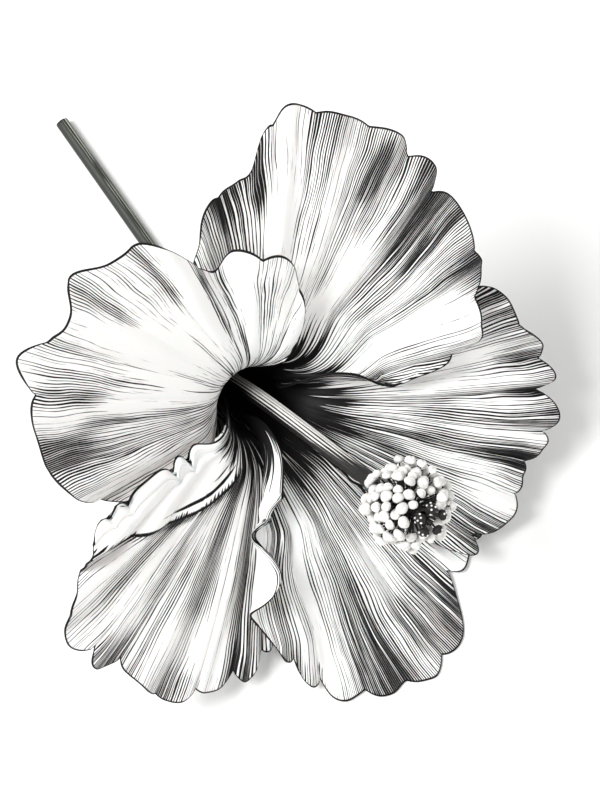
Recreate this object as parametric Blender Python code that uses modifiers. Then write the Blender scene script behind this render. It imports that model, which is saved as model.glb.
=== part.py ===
"""A single hibiscus flower, as picked, lying on a table.

Five petals spring from a funnel and lap each other, the front margin of each over its neighbour. Out of the
throat comes the staminal column with its ball of anthers, and out of the column's end the five stigmas. Behind
the petals are the five-lobed calyx, a whorl of narrow bracteoles, and the pedicel, which curves down to the table.
The flower rests on the petals that face the table and on its pedicel.

Everything but the pedicel is modelled in the flower's own frame, with +Z along its axis out of the mouth and the
origin on the receptacle. An empty then lays it on the table, whose top is Z = 0.
"""

import math

import bmesh
import bpy
import numpy as np
from mathutils import Matrix, Vector

MM = 0.001

# How the flower lies: its axis rises from the table, heads this way round from +X, and is turned about itself.
AXIS_RISE = 45.4
AXIS_HEADING = -51.5
AXIS_TURN = 56.5
RECEPTACLE_PLACE = Vector((-0.0186, 0.0059, 0.0088))
TABLE_BEND = 2.6 * MM
TABLE_SLIDE = 0.4

# The funnel that all petals follow, from the claw to past the longest rim, by the distance along a petal.
CLAW_RADIUS = 5.0 * MM
FUNNEL_SLOPE = 6.0
BLADE_SLOPE = 66.0
RIM_SLOPE = 16.0
FUNNEL_END = 13.0 * MM
BLADE_START = 38.0 * MM
RIM_START = 45.0 * MM
LONGEST_PETAL = 90.0 * MM

# How the petals lie over each other: the step between neighbours at the claw and at the rim, and how the claw
# widens to the blade.
PETAL_COUNT = 5
PETAL_THICKNESS = 0.6 * MM
CLAW_LAP = 1.35 * MM
RIM_LAP = 5.2 * MM
LAP_START = 6.0 * MM
LAP_END = 62.0 * MM
CLAW_SPREAD = 74.0
CLAW_END = 8.0 * MM
SPREAD_END = 31.0 * MM

# Each petal: the claw's azimuth, the outline of the blade from the front margin to the margin behind, as (azimuth
# in degrees, length in millimetres), and swells of the blade, as (azimuth, spread, height in millimetres).
PETALS = {
    "petal_top": {
        "claw": 72.0,
        "outline": (
            (12, 49), (16, 57), (20, 61), (27, 63), (36, 68), (48, 72), (60, 76), (72, 80), (84, 81), (92, 82.5),
            (97, 80), (101, 71), (110, 68), (117, 62), (123, 53), (130, 40), (136, 28),
        ),
        "swells": ((22, 12, 2.5), (74, 18, 1.2), (116, 12, -3.5)),
        "pleat_phase": 0.4,
    },
    "petal_right": {
        "claw": 0.0,
        "outline": (
            (-44, 50), (-42, 60), (-38, 69), (-32, 73), (-25, 75.5), (-14, 75), (-6, 79.5), (4, 78), (12, 77),
            (18, 73), (26, 71), (32, 67), (42, 56), (49, 42), (53, 29),
        ),
        "swells": ((-38, 12, 1.5), (4, 16, 1.2), (44, 12, -1.5)),
        "pleat_phase": 2.1,
    },
    "petal_lower_right": {
        "claw": -72.0,
        "outline": (
            (-101, 53), (-98, 60), (-93, 66), (-86, 74), (-80, 80), (-72, 83), (-62, 85), (-52, 84), (-46, 76),
            (-40, 74), (-32, 73), (-24, 68), (-16, 54), (-9, 32),
        ),
        "swells": ((-97, 8, 2.5), (-60, 16, -1.0), (-22, 12, -1.5)),
        "pleat_phase": 3.3,
    },
    "petal_lower_left": {
        "claw": -144.0,
        "outline": (
            (-160, 58), (-157, 67), (-150, 72), (-143, 80), (-134, 83), (-123, 80), (-112, 82),
            (-104, 78), (-96, 75), (-90, 68), (-82, 58), (-76, 44), (-72, 29),
        ),
        "swells": ((-154, 7, 3.0), (-120, 20, -3.0), (-84, 12, -1.5)),
        "pleat_phase": 5.0,
    },
    "petal_left": {
        "claw": 144.0,
        "outline": (
            (70, 26), (80, 36), (89, 45), (98, 54), (106, 59), (114, 59), (120, 53), (126, 61), (133, 72),
            (141, 74), (148, 79), (154, 74), (163, 80), (172, 78), (181, 72), (190, 69), (200, 63), (210, 52),
            (218, 38), (223, 28),
        ),
        "swells": ((98, 15, 5.0), (120, 6, -3.0), (134, 9, 1.5), (200, 14, -2.0)),
        "pleat_phase": 1.2,
    },
}
PLEATS = 7.0
PLEAT_HEIGHT = 0.9 * MM
PLEAT_START = 20.0 * MM
PLEAT_FULL = 70.0 * MM
PLEAT_WANDER = 0.035
RUFFLES = 9.0
RUFFLE_HEIGHT = 1.1 * MM
RUFFLE_START = 0.72
BLADE_FULL = 60.0 * MM
PETAL_STEPS_ACROSS = 30
PETAL_STEPS_ALONG = 12

# The staminal column: a tube round the style that leans away from the axis past the throat, with a ball of
# anthers on filaments round its end.
COLUMN_LENGTH = 77.0 * MM
COLUMN_LEAN = 28.0
LEAN_START = 14.0 * MM
LEAN_END = 36.0 * MM
COLUMN_RETURN = 24.0
RETURN_START = 44.0 * MM
RETURN_END = 64.0 * MM
COLUMN_LEAN_AZIMUTH = -41.0
COLUMN_RADIUS = 1.7 * MM
COLUMN_FOOT_RADIUS = 3.6 * MM
COLUMN_FOOT_HEIGHT = 10.0 * MM
BORE_RADIUS = 0.9 * MM
BORE_FOOT_RADIUS = 2.75 * MM
BORE_FOOT_HEIGHT = 6.0 * MM
COLUMN_SIDES = 10
COLUMN_STEPS = 10
COLUMN_TIP = 1.2 * MM
ANTHER_RINGS = 8
ANTHER_ZONE = 9.6 * MM
BALL_RADIUS = 7.9 * MM
BALL_INNER_SHARE = 0.84
BALL_LOWEST = 143.0
BALL_HIGHEST = 33.0
FILAMENT_RADIUS = 0.22 * MM
ANTHER_RADIUS = 1.1 * MM
ANTHER_LENGTH = 1.9 * MM

# The pistil: the ovary in the column's foot, the style in its bore, and five branches with their stigmas.
OVARY_RADIUS = 2.2 * MM
OVARY_HEIGHT = 6.0 * MM
STYLE_RADIUS = 0.45 * MM
STYLE_STEPS = 12
STYLE_PAST_COLUMN = 1.4 * MM
BRANCH_COUNT = 5
BRANCH_RADIUS = 0.2 * MM
BRANCH_REACH = 1.8 * MM
BRANCH_RISE = 1.1 * MM
STIGMA_RADIUS = 0.85 * MM

# The calyx, a cup with five pointed lobes, and the bracteoles below it.
CALYX_THICKNESS = 0.7 * MM
CALYX_CLEARANCE = 2.5 * MM
CALYX_FOOT_RADIUS = 6.6 * MM
CALYX_BOTTOM = -2.2 * MM
CALYX_FOOT_HEIGHT = 5.0 * MM
CALYX_NOTCH_HEIGHT = 12.0 * MM
CALYX_LOBE_HEIGHT = 22.5 * MM
CALYX_TIP_FLARE = 3.4 * MM
CALYX_STEPS_AROUND = 40
CALYX_STEPS_UP = 8
BRACTEOLE_COUNT = 7
BRACTEOLE_LENGTH = 12.0 * MM
BRACTEOLE_WIDTH = 1.9 * MM
BRACTEOLE_THICKNESS = 0.6 * MM
BRACTEOLE_ROOT_RADIUS = 5.8 * MM
BRACTEOLE_GAP = 0.3 * MM

# The receptacle, which carries every other piece, and the pedicel below it, one grown piece: the radius at each
# distance below the receptacle's top, down to where the pedicel starts to bend.
RECEPTACLE_TOP = -0.3 * MM
RECEPTACLE_NECK = ((0.0, 5.9), (2.0, 5.9), (3.1, 4.2), (4.4, 2.7))
PEDICEL_RADIUS = 1.45 * MM
PEDICEL_NECK_RADIUS = 2.0 * MM
PEDICEL_NECK_LENGTH = 5.0 * MM
PEDICEL_JOINT_RADIUS = 1.8 * MM
PEDICEL_JOINT_AT = 9.0 * MM
PEDICEL_JOINT_SPREAD = 1.4 * MM
PEDICEL_TOUCHDOWN = Vector((-0.0100, 0.0242, PEDICEL_RADIUS))
PEDICEL_CUT = Vector((-0.0350, 0.0617, PEDICEL_RADIUS))
PEDICEL_NECK_ARM = 0.21
PEDICEL_LYING_ARM = 0.45
PEDICEL_STEPS = 14
PEDICEL_LYING_STEPS = 4


def smooth_rise(value, low, high):
    """0 below low, 1 above high, and an even S between them."""
    t = np.clip((value - low) / (high - low), 0.0, 1.0)
    return t * t * (3.0 - 2.0 * t)


def curve_through(points, x):
    """The smooth curve through (x, y) points, read at x."""
    xs, ys = np.array(points, float).T
    slopes = np.gradient(ys, xs)
    i = np.clip(np.searchsorted(xs, x) - 1, 0, len(xs) - 2)
    step = xs[i + 1] - xs[i]
    t = (x - xs[i]) / step
    return (
        (1 + 2 * t) * (1 - t) ** 2 * ys[i]
        + t * (1 - t) ** 2 * step * slopes[i]
        + t**2 * (3 - 2 * t) * ys[i + 1]
        + t**2 * (t - 1) * step * slopes[i + 1]
    )


def funnel_profile():
    """The funnel's line from the claw outwards: distance, radius, height and slope from the axis."""
    step = 0.25 * MM
    distance = np.arange(0.0, LONGEST_PETAL, step)
    slope = np.radians(
        FUNNEL_SLOPE
        + BLADE_SLOPE * smooth_rise(distance, FUNNEL_END, BLADE_START)
        + RIM_SLOPE * np.clip((distance - RIM_START) / (LONGEST_PETAL - RIM_START), 0.0, 1.0)
    )
    radius = CLAW_RADIUS + np.cumsum(np.sin(slope)) * step
    height = np.cumsum(np.cos(slope)) * step
    return distance, radius, height, slope


FUNNEL = funnel_profile()


def on_funnel(azimuth, distance, offset):
    """A point on the funnel, lifted by offset towards its inside."""
    radius = np.interp(distance, FUNNEL[0], FUNNEL[1])
    height = np.interp(distance, FUNNEL[0], FUNNEL[2])
    slope = np.interp(distance, FUNNEL[0], FUNNEL[3])
    radius = radius - offset * np.cos(slope)
    height = height + offset * np.sin(slope)
    angle = np.radians(azimuth)
    return np.stack((radius * np.cos(angle), radius * np.sin(angle), height), -1)


def petal_points(petal, across, along):
    """Points on a petal's middle sheet. across is 0 at the front margin and 1 at the one behind, and along is 0
    at the claw and 1 at the rim."""
    outline = petal["outline"]
    phase = petal["pleat_phase"]
    front, behind = outline[0][0], outline[-1][0]
    blade_azimuth = front + across * (behind - front)
    distance = along * curve_through(outline, blade_azimuth) * MM

    spread = smooth_rise(distance, CLAW_END, SPREAD_END)
    claw_azimuth = petal["claw"] + (across - 0.5) * CLAW_SPREAD
    azimuth = claw_azimuth * (1.0 - spread) + blade_azimuth * spread
    middle = petal["claw"] * (1.0 - spread) + (front + behind) / 2 * spread

    lap = CLAW_LAP + (RIM_LAP - CLAW_LAP) * smooth_rise(distance, LAP_START, LAP_END)
    offset = lap * (middle - azimuth) * PETAL_COUNT / 360.0
    wander = across + PLEAT_WANDER * np.sin(11.0 * across + phase)
    pleat = np.cos(2.0 * math.pi * PLEATS * wander + phase)
    offset = offset + PLEAT_HEIGHT * pleat * smooth_rise(distance, PLEAT_START, PLEAT_FULL)
    ruffle = np.sin(2.0 * math.pi * RUFFLES * across + 2.0 * phase)
    edge = np.clip((along - RUFFLE_START) / (1.0 - RUFFLE_START), 0.0, 1.0)
    offset = offset + RUFFLE_HEIGHT * ruffle * edge**2 * smooth_rise(distance, SPREAD_END, BLADE_FULL)
    for swell_azimuth, swell_spread, height in petal["swells"]:
        swell = np.exp(-(((azimuth - swell_azimuth) / swell_spread) ** 2))
        offset = offset + height * MM * swell * along**2 * smooth_rise(distance, PLEAT_START, BLADE_FULL)
    return on_funnel(azimuth, distance, offset)


def flower_place():
    """The matrix that lays the flower's own frame on the table."""
    heading = Matrix.Rotation(math.radians(AXIS_HEADING), 4, "Z")
    lean = Matrix.Rotation(math.radians(90.0 - AXIS_RISE), 4, "Y")
    turn = Matrix.Rotation(math.radians(AXIS_TURN), 4, "Z")
    return Matrix.Translation(RECEPTACLE_PLACE) @ heading @ lean @ turn


def bend_along_table(points):
    """Bends points of a petal, in the flower's frame, so that what would be under the table lies along it."""
    place = np.array(flower_place())
    laid = points @ place[:3, :3].T + place[:3, 3]
    height = laid[:, 2] - PETAL_THICKNESS / 2
    bent = np.where(height > TABLE_BEND, height, TABLE_BEND * np.exp(np.minimum(height / TABLE_BEND, 1.0) - 1.0))
    outward = laid[:, :2] - place[:2, 3]
    outward = outward / np.linalg.norm(outward, axis=1, keepdims=True)
    laid[:, :2] += outward * (bent - height)[:, None] * TABLE_SLIDE
    laid[:, 2] = bent + PETAL_THICKNESS / 2
    return (laid - place[:3, 3]) @ place[:3, :3]


def new_material(name, colour, roughness):
    material = bpy.data.materials.new(name)
    material.use_nodes = True
    shader = material.node_tree.nodes["Principled BSDF"]
    shader.inputs["Base Color"].default_value = (*colour, 1.0)
    shader.inputs["Roughness"].default_value = roughness
    return material


def add_object(name, mesh, collection, material, parent):
    if not mesh.materials:
        mesh.materials.append(material)
    mesh.shade_smooth()
    obj = bpy.data.objects.new(name, mesh)
    obj.parent = parent
    collection.objects.link(obj)
    return obj


def mesh_from(bm, name):
    mesh = bpy.data.meshes.new(name)
    bm.to_mesh(mesh)
    bm.free()
    return mesh


def shaped_grid(name, steps_x, steps_y, shape):
    """A grid mesh whose points go where shape(x, y) says, with x and y from 0 to 1."""
    bm = bmesh.new()
    bmesh.ops.create_grid(bm, x_segments=steps_x, y_segments=steps_y, size=0.5)
    flat = np.array([vertex.co for vertex in bm.verts]) + 0.5
    for vertex, point in zip(bm.verts, shape(flat[:, 0], flat[:, 1])):
        vertex.co = point
    return mesh_from(bm, name)


def thicken(obj, thickness):
    solid = obj.modifiers.new("Solidify", "SOLIDIFY")
    solid.thickness = thickness
    solid.offset = 0.0


def make_petal(name, petal, collection, material, parent):
    def shape(across, along):
        return bend_along_table(petal_points(petal, 1.0 - across, along))

    mesh = shaped_grid(name, PETAL_STEPS_ACROSS, PETAL_STEPS_ALONG, shape)
    thicken(add_object(name, mesh, collection, material, parent), PETAL_THICKNESS)


def calyx_points(around, up):
    """The calyx's middle sheet, once around and up from the foot to the tips of the lobes."""
    from_notch = 1.0 - np.abs(((around * PETAL_COUNT) % 1.0) - 0.5) * 2.0
    top = CALYX_NOTCH_HEIGHT + (CALYX_LOBE_HEIGHT - CALYX_NOTCH_HEIGHT) * (1.0 - from_notch) ** 0.85
    height = CALYX_BOTTOM + (top - CALYX_BOTTOM) * up
    funnel = np.interp(height, FUNNEL[2], FUNNEL[1]) + CALYX_CLEARANCE
    foot = smooth_rise(height, CALYX_BOTTOM, CALYX_FOOT_HEIGHT)
    radius = CALYX_FOOT_RADIUS + (funnel - CALYX_FOOT_RADIUS) * foot
    radius = radius + CALYX_TIP_FLARE * smooth_rise(height, CALYX_NOTCH_HEIGHT, CALYX_LOBE_HEIGHT)
    angle = 2.0 * math.pi * around
    return np.stack((radius * np.cos(angle), radius * np.sin(angle), height), -1)


def make_calyx(collection, material, parent):
    mesh = shaped_grid("calyx", CALYX_STEPS_AROUND, CALYX_STEPS_UP, calyx_points)
    bm = bmesh.new()
    bm.from_mesh(mesh)
    bmesh.ops.remove_doubles(bm, verts=bm.verts, dist=0.01 * MM)
    bm.to_mesh(mesh)
    bm.free()
    thicken(add_object("calyx", mesh, collection, material, parent), CALYX_THICKNESS)


def bracteole_points(across, along):
    """A narrow leaf that leaves the receptacle along +X and curves up beside the calyx."""
    run = along * BRACTEOLE_LENGTH
    root_height = RECEPTACLE_TOP - RECEPTACLE_NECK[1][0] * MM - BRACTEOLE_GAP - BRACTEOLE_THICKNESS / 2
    outward = BRACTEOLE_ROOT_RADIUS + run * (0.85 - 0.25 * along)
    height = root_height + run * 0.6 * along
    width = BRACTEOLE_WIDTH * np.sin(math.pi * (0.16 + 0.8 * along)) ** 0.7
    return np.stack((outward, (0.5 - across) * width, height), -1)


def make_bracteoles(collection, material, parent):
    mesh = shaped_grid("bracteole", 2, 8, bracteole_points)
    for number in range(BRACTEOLE_COUNT):
        obj = add_object(f"bracteole_{number + 1}", mesh, collection, material, parent)
        obj.rotation_euler.z = 2.0 * math.pi * (number + 0.3) / BRACTEOLE_COUNT
        thicken(obj, BRACTEOLE_THICKNESS)


def turned(profile, sides):
    """A bmesh with a closed profile of (radius, height) points spun round the Z axis."""
    bm = bmesh.new()
    verts = [bm.verts.new((radius, 0.0, height)) for radius, height in profile]
    edges = [bm.edges.new(pair) for pair in zip(verts, verts[1:])]
    bmesh.ops.spin(
        bm, geom=verts + edges, axis=(0.0, 0.0, 1.0), cent=(0.0, 0.0, 0.0), angle=2.0 * math.pi, steps=sides,
        use_merge=True,
    )
    bmesh.ops.remove_doubles(bm, verts=bm.verts, dist=0.001 * MM)
    bmesh.ops.recalc_face_normals(bm, faces=bm.faces)
    return bm


def column_course():
    """The column's middle line: distance, rise, how far it leans over, and its turn from upright."""
    step = 0.25 * MM
    distance = np.arange(0.0, LONGEST_PETAL, step)
    turn = np.radians(
        COLUMN_LEAN * smooth_rise(distance, LEAN_START, LEAN_END)
        - COLUMN_RETURN * smooth_rise(distance, RETURN_START, RETURN_END)
    )
    rise = (np.cumsum(np.cos(turn)) - 1.0) * step
    lean = np.cumsum(np.sin(turn)) * step
    return distance, rise, lean, turn


def bend_along_column(bm):
    """Bends a straight upright mesh so that its middle follows the column's line."""
    azimuth = math.radians(COLUMN_LEAN_AZIMUTH)
    sideways = Vector((math.cos(azimuth), math.sin(azimuth), 0.0))
    upwards = Vector((0.0, 0.0, 1.0))
    distance, rise, lean, turn = column_course()
    for vertex in bm.verts:
        middle = upwards * np.interp(vertex.co.z, distance, rise)
        middle += sideways * np.interp(vertex.co.z, distance, lean)
        arm = Vector((vertex.co.x, vertex.co.y, 0.0))
        bend = float(np.interp(vertex.co.z, distance, turn))
        vertex.co = middle + Matrix.Rotation(bend, 3, upwards.cross(sideways)) @ arm


def grow(bm, face, stations):
    """Draws a stalk out of a face, with a square section of each station's radius at each station's point."""
    start = face.calc_center_median()
    for point, radius in stations:
        direction = (point - start).normalized()
        face = bmesh.ops.extrude_discrete_faces(bm, faces=[face])["faces"][0]
        centre = face.calc_center_median()
        for vertex in face.verts:
            arm = vertex.co - centre
            arm -= direction * arm.dot(direction)
            vertex.co = point + arm.normalized() * radius
        start = point


def column_profile():
    """Up the outside of the column and down its bore, with even rings where the filaments grow."""
    zone_start = COLUMN_LENGTH - COLUMN_TIP - ANTHER_ZONE
    heights = [zone_start * step / COLUMN_STEPS for step in range(COLUMN_STEPS)]
    heights += [zone_start + ANTHER_ZONE * ring / ANTHER_RINGS for ring in range(ANTHER_RINGS + 1)]
    outside = [
        (COLUMN_FOOT_RADIUS + (COLUMN_RADIUS - COLUMN_FOOT_RADIUS) * smooth_rise(h, 0.0, COLUMN_FOOT_HEIGHT), h)
        for h in heights
    ]
    outside.append((0.85 * COLUMN_RADIUS, COLUMN_LENGTH))
    bore = [(BORE_RADIUS, h) for h in reversed(heights[2:] + [COLUMN_LENGTH])]
    foot = [(BORE_RADIUS, BORE_FOOT_HEIGHT * 1.5), (BORE_FOOT_RADIUS, BORE_FOOT_HEIGHT), (BORE_FOOT_RADIUS, 0.0)]
    return outside + [point for point in bore if point[1] > foot[0][1]] + foot + outside[:1]


def grow_stamens(bm):
    """One filament with its anther out of every face of the anther zone, all ending on a ball."""
    zone_start = COLUMN_LENGTH - COLUMN_TIP - ANTHER_ZONE
    ball_centre = Vector((0.0, 0.0, zone_start + ANTHER_ZONE / 2))
    low, high = math.cos(math.radians(BALL_LOWEST)), math.cos(math.radians(BALL_HIGHEST))
    for face in list(bm.faces):
        centre = face.calc_center_median()
        outward = Vector((centre.x, centre.y, 0.0))
        ring = (centre.z - zone_start) / ANTHER_ZONE * ANTHER_RINGS
        if outward.length < (BORE_RADIUS + COLUMN_RADIUS) / 2 or not 0.0 < ring < ANTHER_RINGS:
            continue
        side = round(math.atan2(centre.y, centre.x) / (2.0 * math.pi) * COLUMN_SIDES - 0.5)
        reach = BALL_RADIUS * (1.0 if (int(ring) + side) % 2 else BALL_INNER_SHARE)
        rise = low + (high - low) * (ring - 0.5) / (ANTHER_RINGS - 1)
        aim = outward.normalized() * math.sqrt(1.0 - rise * rise) + Vector((0.0, 0.0, rise))
        end = ball_centre + aim * reach
        along = (end - centre).normalized()
        stations = (
            (centre.lerp(end, 0.3), FILAMENT_RADIUS),
            (end, FILAMENT_RADIUS),
            (end + along * 0.3 * ANTHER_LENGTH, ANTHER_RADIUS),
            (end + along * 0.8 * ANTHER_LENGTH, ANTHER_RADIUS),
            (end + along * ANTHER_LENGTH, 0.5 * ANTHER_RADIUS),
        )
        grow(bm, face, stations)


def make_column(collection, material, parent):
    bm = turned(column_profile(), COLUMN_SIDES)
    grow_stamens(bm)
    bend_along_column(bm)
    add_object("staminal_column", mesh_from(bm, "staminal_column"), collection, material, parent)


def make_pistil(collection, material, parent):
    ovary = [(OVARY_RADIUS * math.cos(math.radians(turn)), math.radians(turn)) for turn in range(0, 81, 20)]
    profile = [(0.0, 0.0), (0.7 * OVARY_RADIUS, 0.0)]
    profile += [(r, OVARY_HEIGHT * (0.3 + 0.7 * math.sin(turn))) for r, turn in ovary if r > STYLE_RADIUS]
    style_end = COLUMN_LENGTH + STYLE_PAST_COLUMN
    rise = (style_end - OVARY_HEIGHT * 1.1) / STYLE_STEPS
    profile += [(STYLE_RADIUS, OVARY_HEIGHT * 1.1 + rise * step) for step in range(STYLE_STEPS + 1)]
    profile += [(1.2 * STYLE_RADIUS, style_end + STYLE_RADIUS * 2), (0.0, style_end + STYLE_RADIUS * 3)]
    bm = turned(profile, 2 * BRANCH_COUNT)
    for face in list(bm.faces):
        centre = face.calc_center_median()
        side = round(math.atan2(centre.y, centre.x) / math.pi * BRANCH_COUNT - 0.5)
        if not style_end < centre.z < style_end + STYLE_RADIUS * 2 or side % 2:
            continue
        outward = Vector((centre.x, centre.y, 0.0)).normalized()
        end = centre + outward * BRANCH_REACH + Vector((0.0, 0.0, BRANCH_RISE))
        along = (end - centre).normalized()
        stations = (
            (centre.lerp(end, 0.3), BRANCH_RADIUS),
            (end, BRANCH_RADIUS),
            (end + along * 0.5 * STIGMA_RADIUS, STIGMA_RADIUS),
            (end + along * 1.2 * STIGMA_RADIUS, STIGMA_RADIUS),
            (end + along * 1.7 * STIGMA_RADIUS, 0.5 * STIGMA_RADIUS),
        )
        grow(bm, face, stations)
    bend_along_column(bm)
    add_object("pistil", mesh_from(bm, "pistil"), collection, material, parent)


def bezier(start, start_arm, end_arm, end, t):
    s = 1.0 - t
    return start * s**3 + start_arm * 3 * s * s * t + end_arm * 3 * s * t * t + end * t**3


def pedicel_line():
    """The pedicel's middle from the receptacle to the cut end, with the radius at each point."""
    place = flower_place()
    down = (place.to_3x3() @ Vector((0.0, 0.0, -1.0))).normalized()
    top = place @ Vector((0.0, 0.0, RECEPTACLE_TOP))
    line = [(top + down * distance * MM, radius * MM) for distance, radius in RECEPTACLE_NECK]
    neck_end = line[-1][0]
    foot = Vector((place.translation.x, place.translation.y, 0.0))
    touchdown, cut = foot + PEDICEL_TOUCHDOWN, foot + PEDICEL_CUT
    lying = (cut - touchdown).normalized()
    reach = (touchdown - neck_end).length
    neck_arm = neck_end + down * reach * PEDICEL_NECK_ARM
    lying_arm = touchdown - lying * reach * PEDICEL_LYING_ARM
    steps = [step / PEDICEL_STEPS for step in range(1, PEDICEL_STEPS + 1)]
    points = [bezier(neck_end, neck_arm, lying_arm, touchdown, step) for step in steps]
    points += [touchdown.lerp(cut, step / PEDICEL_LYING_STEPS) for step in range(1, PEDICEL_LYING_STEPS + 1)]
    travelled = 0.0
    before = neck_end
    for point in points:
        travelled += (point - before).length
        joint = math.exp(-(((travelled - PEDICEL_JOINT_AT) / PEDICEL_JOINT_SPREAD) ** 2))
        neck = 1.0 - smooth_rise(travelled, 0.0, PEDICEL_NECK_LENGTH)
        radius = PEDICEL_RADIUS + (PEDICEL_NECK_RADIUS - PEDICEL_RADIUS) * neck
        line.append((point, radius + (PEDICEL_JOINT_RADIUS - PEDICEL_RADIUS) * joint))
        before = point
    return line


def make_pedicel(collection, material):
    line = pedicel_line()
    curve = bpy.data.curves.new("pedicel", "CURVE")
    curve.dimensions = "3D"
    curve.bevel_depth = 1.0
    curve.bevel_resolution = 2
    curve.use_fill_caps = True
    spline = curve.splines.new("POLY")
    spline.points.add(len(line) - 1)
    for spline_point, (point, radius) in zip(spline.points, line):
        spline_point.co = (*point, 1.0)
        spline_point.radius = radius
    curve.materials.append(material)
    collection.objects.link(bpy.data.objects.new("pedicel", curve))


def clear_scene():
    for obj in list(bpy.data.objects):
        bpy.data.objects.remove(obj)


def main():
    clear_scene()
    collection = bpy.data.collections.new("hibiscus_flower")
    bpy.context.scene.collection.children.link(collection)
    flower = bpy.data.objects.new("flower_axis", None)
    flower.matrix_world = flower_place()
    collection.objects.link(flower)

    petal_white = new_material("petal_white", (0.86, 0.85, 0.83), 0.55)
    calyx_green = new_material("calyx_green", (0.30, 0.33, 0.27), 0.6)
    column_ivory = new_material("column_ivory", (0.74, 0.72, 0.68), 0.5)
    stigma_dark = new_material("stigma_dark", (0.05, 0.03, 0.035), 0.7)
    for name, petal in PETALS.items():
        make_petal(name, petal, collection, petal_white, flower)
    make_calyx(collection, calyx_green, flower)
    make_bracteoles(collection, calyx_green, flower)
    make_column(collection, column_ivory, flower)
    make_pistil(collection, stigma_dark, flower)
    make_pedicel(collection, calyx_green)


main()
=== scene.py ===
"""The looks of a single hibiscus flower that lies on a table.

Each piece of the flower is modelled again, finer than its construction solid, on the same funnel,
column and stem lines. All pieces but the stem are shaped in the flower's own frame, with +Z along its
axis out of the mouth, and are then laid on the table.
"""

import math

import bpy
import numpy as np
from bpy.props import FloatProperty, FloatVectorProperty, IntProperty, PointerProperty
from mathutils import Matrix, Vector


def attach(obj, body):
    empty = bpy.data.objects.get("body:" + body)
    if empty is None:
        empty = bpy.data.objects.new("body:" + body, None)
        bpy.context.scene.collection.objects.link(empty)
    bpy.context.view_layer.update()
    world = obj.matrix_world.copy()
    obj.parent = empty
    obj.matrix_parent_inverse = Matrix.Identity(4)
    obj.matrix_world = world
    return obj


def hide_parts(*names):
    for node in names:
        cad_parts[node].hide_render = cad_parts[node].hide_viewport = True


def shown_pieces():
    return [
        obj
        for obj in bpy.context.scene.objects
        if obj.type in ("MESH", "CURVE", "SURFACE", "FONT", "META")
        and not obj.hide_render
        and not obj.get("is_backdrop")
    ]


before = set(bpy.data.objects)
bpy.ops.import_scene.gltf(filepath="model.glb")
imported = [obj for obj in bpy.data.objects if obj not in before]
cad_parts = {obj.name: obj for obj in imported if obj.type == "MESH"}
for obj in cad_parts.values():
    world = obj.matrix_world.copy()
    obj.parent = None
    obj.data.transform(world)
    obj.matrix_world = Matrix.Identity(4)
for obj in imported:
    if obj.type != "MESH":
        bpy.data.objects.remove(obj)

bl_info = {
    "name": "Hibiscus Flower",
    "version": (1, 0, 0),
    "blender": (4, 5, 0),
    "location": "View3D > Sidebar > Hibiscus",
    "description": "Models a lying hibiscus flower with veined petals, a column of stamens, calyx and stem",
    "category": "Object",
}

MM = 0.001
BODY = "root"

# How the flower lies, as its construction does.
AXIS_RISE = 45.4
AXIS_HEADING = -51.5
AXIS_TURN = 56.5
RECEPTACLE_PLACE = Vector((-0.0186, 0.0059, 0.0088))
TABLE_BEND = 2.6 * MM
TABLE_SLIDE = 0.4

# The funnel that all petals follow, and how they lap each other.
CLAW_RADIUS = 5.0 * MM
FUNNEL_SLOPE = 6.0
BLADE_SLOPE = 66.0
RIM_SLOPE = 16.0
FUNNEL_END = 13.0 * MM
BLADE_START = 38.0 * MM
RIM_START = 45.0 * MM
LONGEST_PETAL = 90.0 * MM
PETAL_COUNT = 5
CLAW_LAP = 1.35 * MM
RIM_LAP = 5.2 * MM
LAP_START = 6.0 * MM
LAP_END = 62.0 * MM
CLAW_SPREAD = 74.0
CLAW_END = 8.0 * MM
SPREAD_END = 31.0 * MM
BLADE_FULL = 60.0 * MM

# How a petal's blade waves. The counts of waves are across the whole petal.
WANDER_WAVES = ((1.6, 0.022), (4.3, 0.010))
LOBE_SHARPNESS = 0.7
LOBE_START = 35.0 * MM
LOBE_UNEVEN_WAVES = 2.7
LOBE_UNEVEN = (0.7, 0.45)
PLEAT_START = 20.0 * MM
PLEAT_END = 70.0 * MM
CREASE_SHARPNESS = 1.4
CREASE_FROM = 0.35
RUFFLE_FROM = 0.62
RUFFLE_WAVES = 8.3
FINE_RUFFLE_WAVES = 21.0
FINE_RUFFLE = 0.3
SWELL_START = 20.0 * MM

# How a front margin folds over, bends back along a ridge, or waves.
CURL_TURN = math.radians(158.0)
CURL_STRETCH = 0.5
CURL_STRETCH_FADE = (0.8, 3.2)
RIDGE_FADE = 8.0 * MM
RIDGE_HEIGHT = 1.6 * MM
RIDGE_SPREAD = 2.6 * MM
RIDGE_FALL = 0.22
RIDGE_LINES = ((-0.2 * MM, 70.0 * MM), (1.5 * MM, 56.0 * MM), (2.9 * MM, 42.0 * MM))
RIDGE_LINE_FADE = 12.0 * MM
FRILL_REACH = 7.0 * MM
FRILL_LENGTH = 8.5 * MM
FRILL_DRIFT = 1.1
FRILL_DRIFT_LENGTH = 21.0 * MM
FRILL_SHARPNESS = 0.6
FRILL_START = 22.0 * MM
FRILL_END = 34.0 * MM

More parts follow.
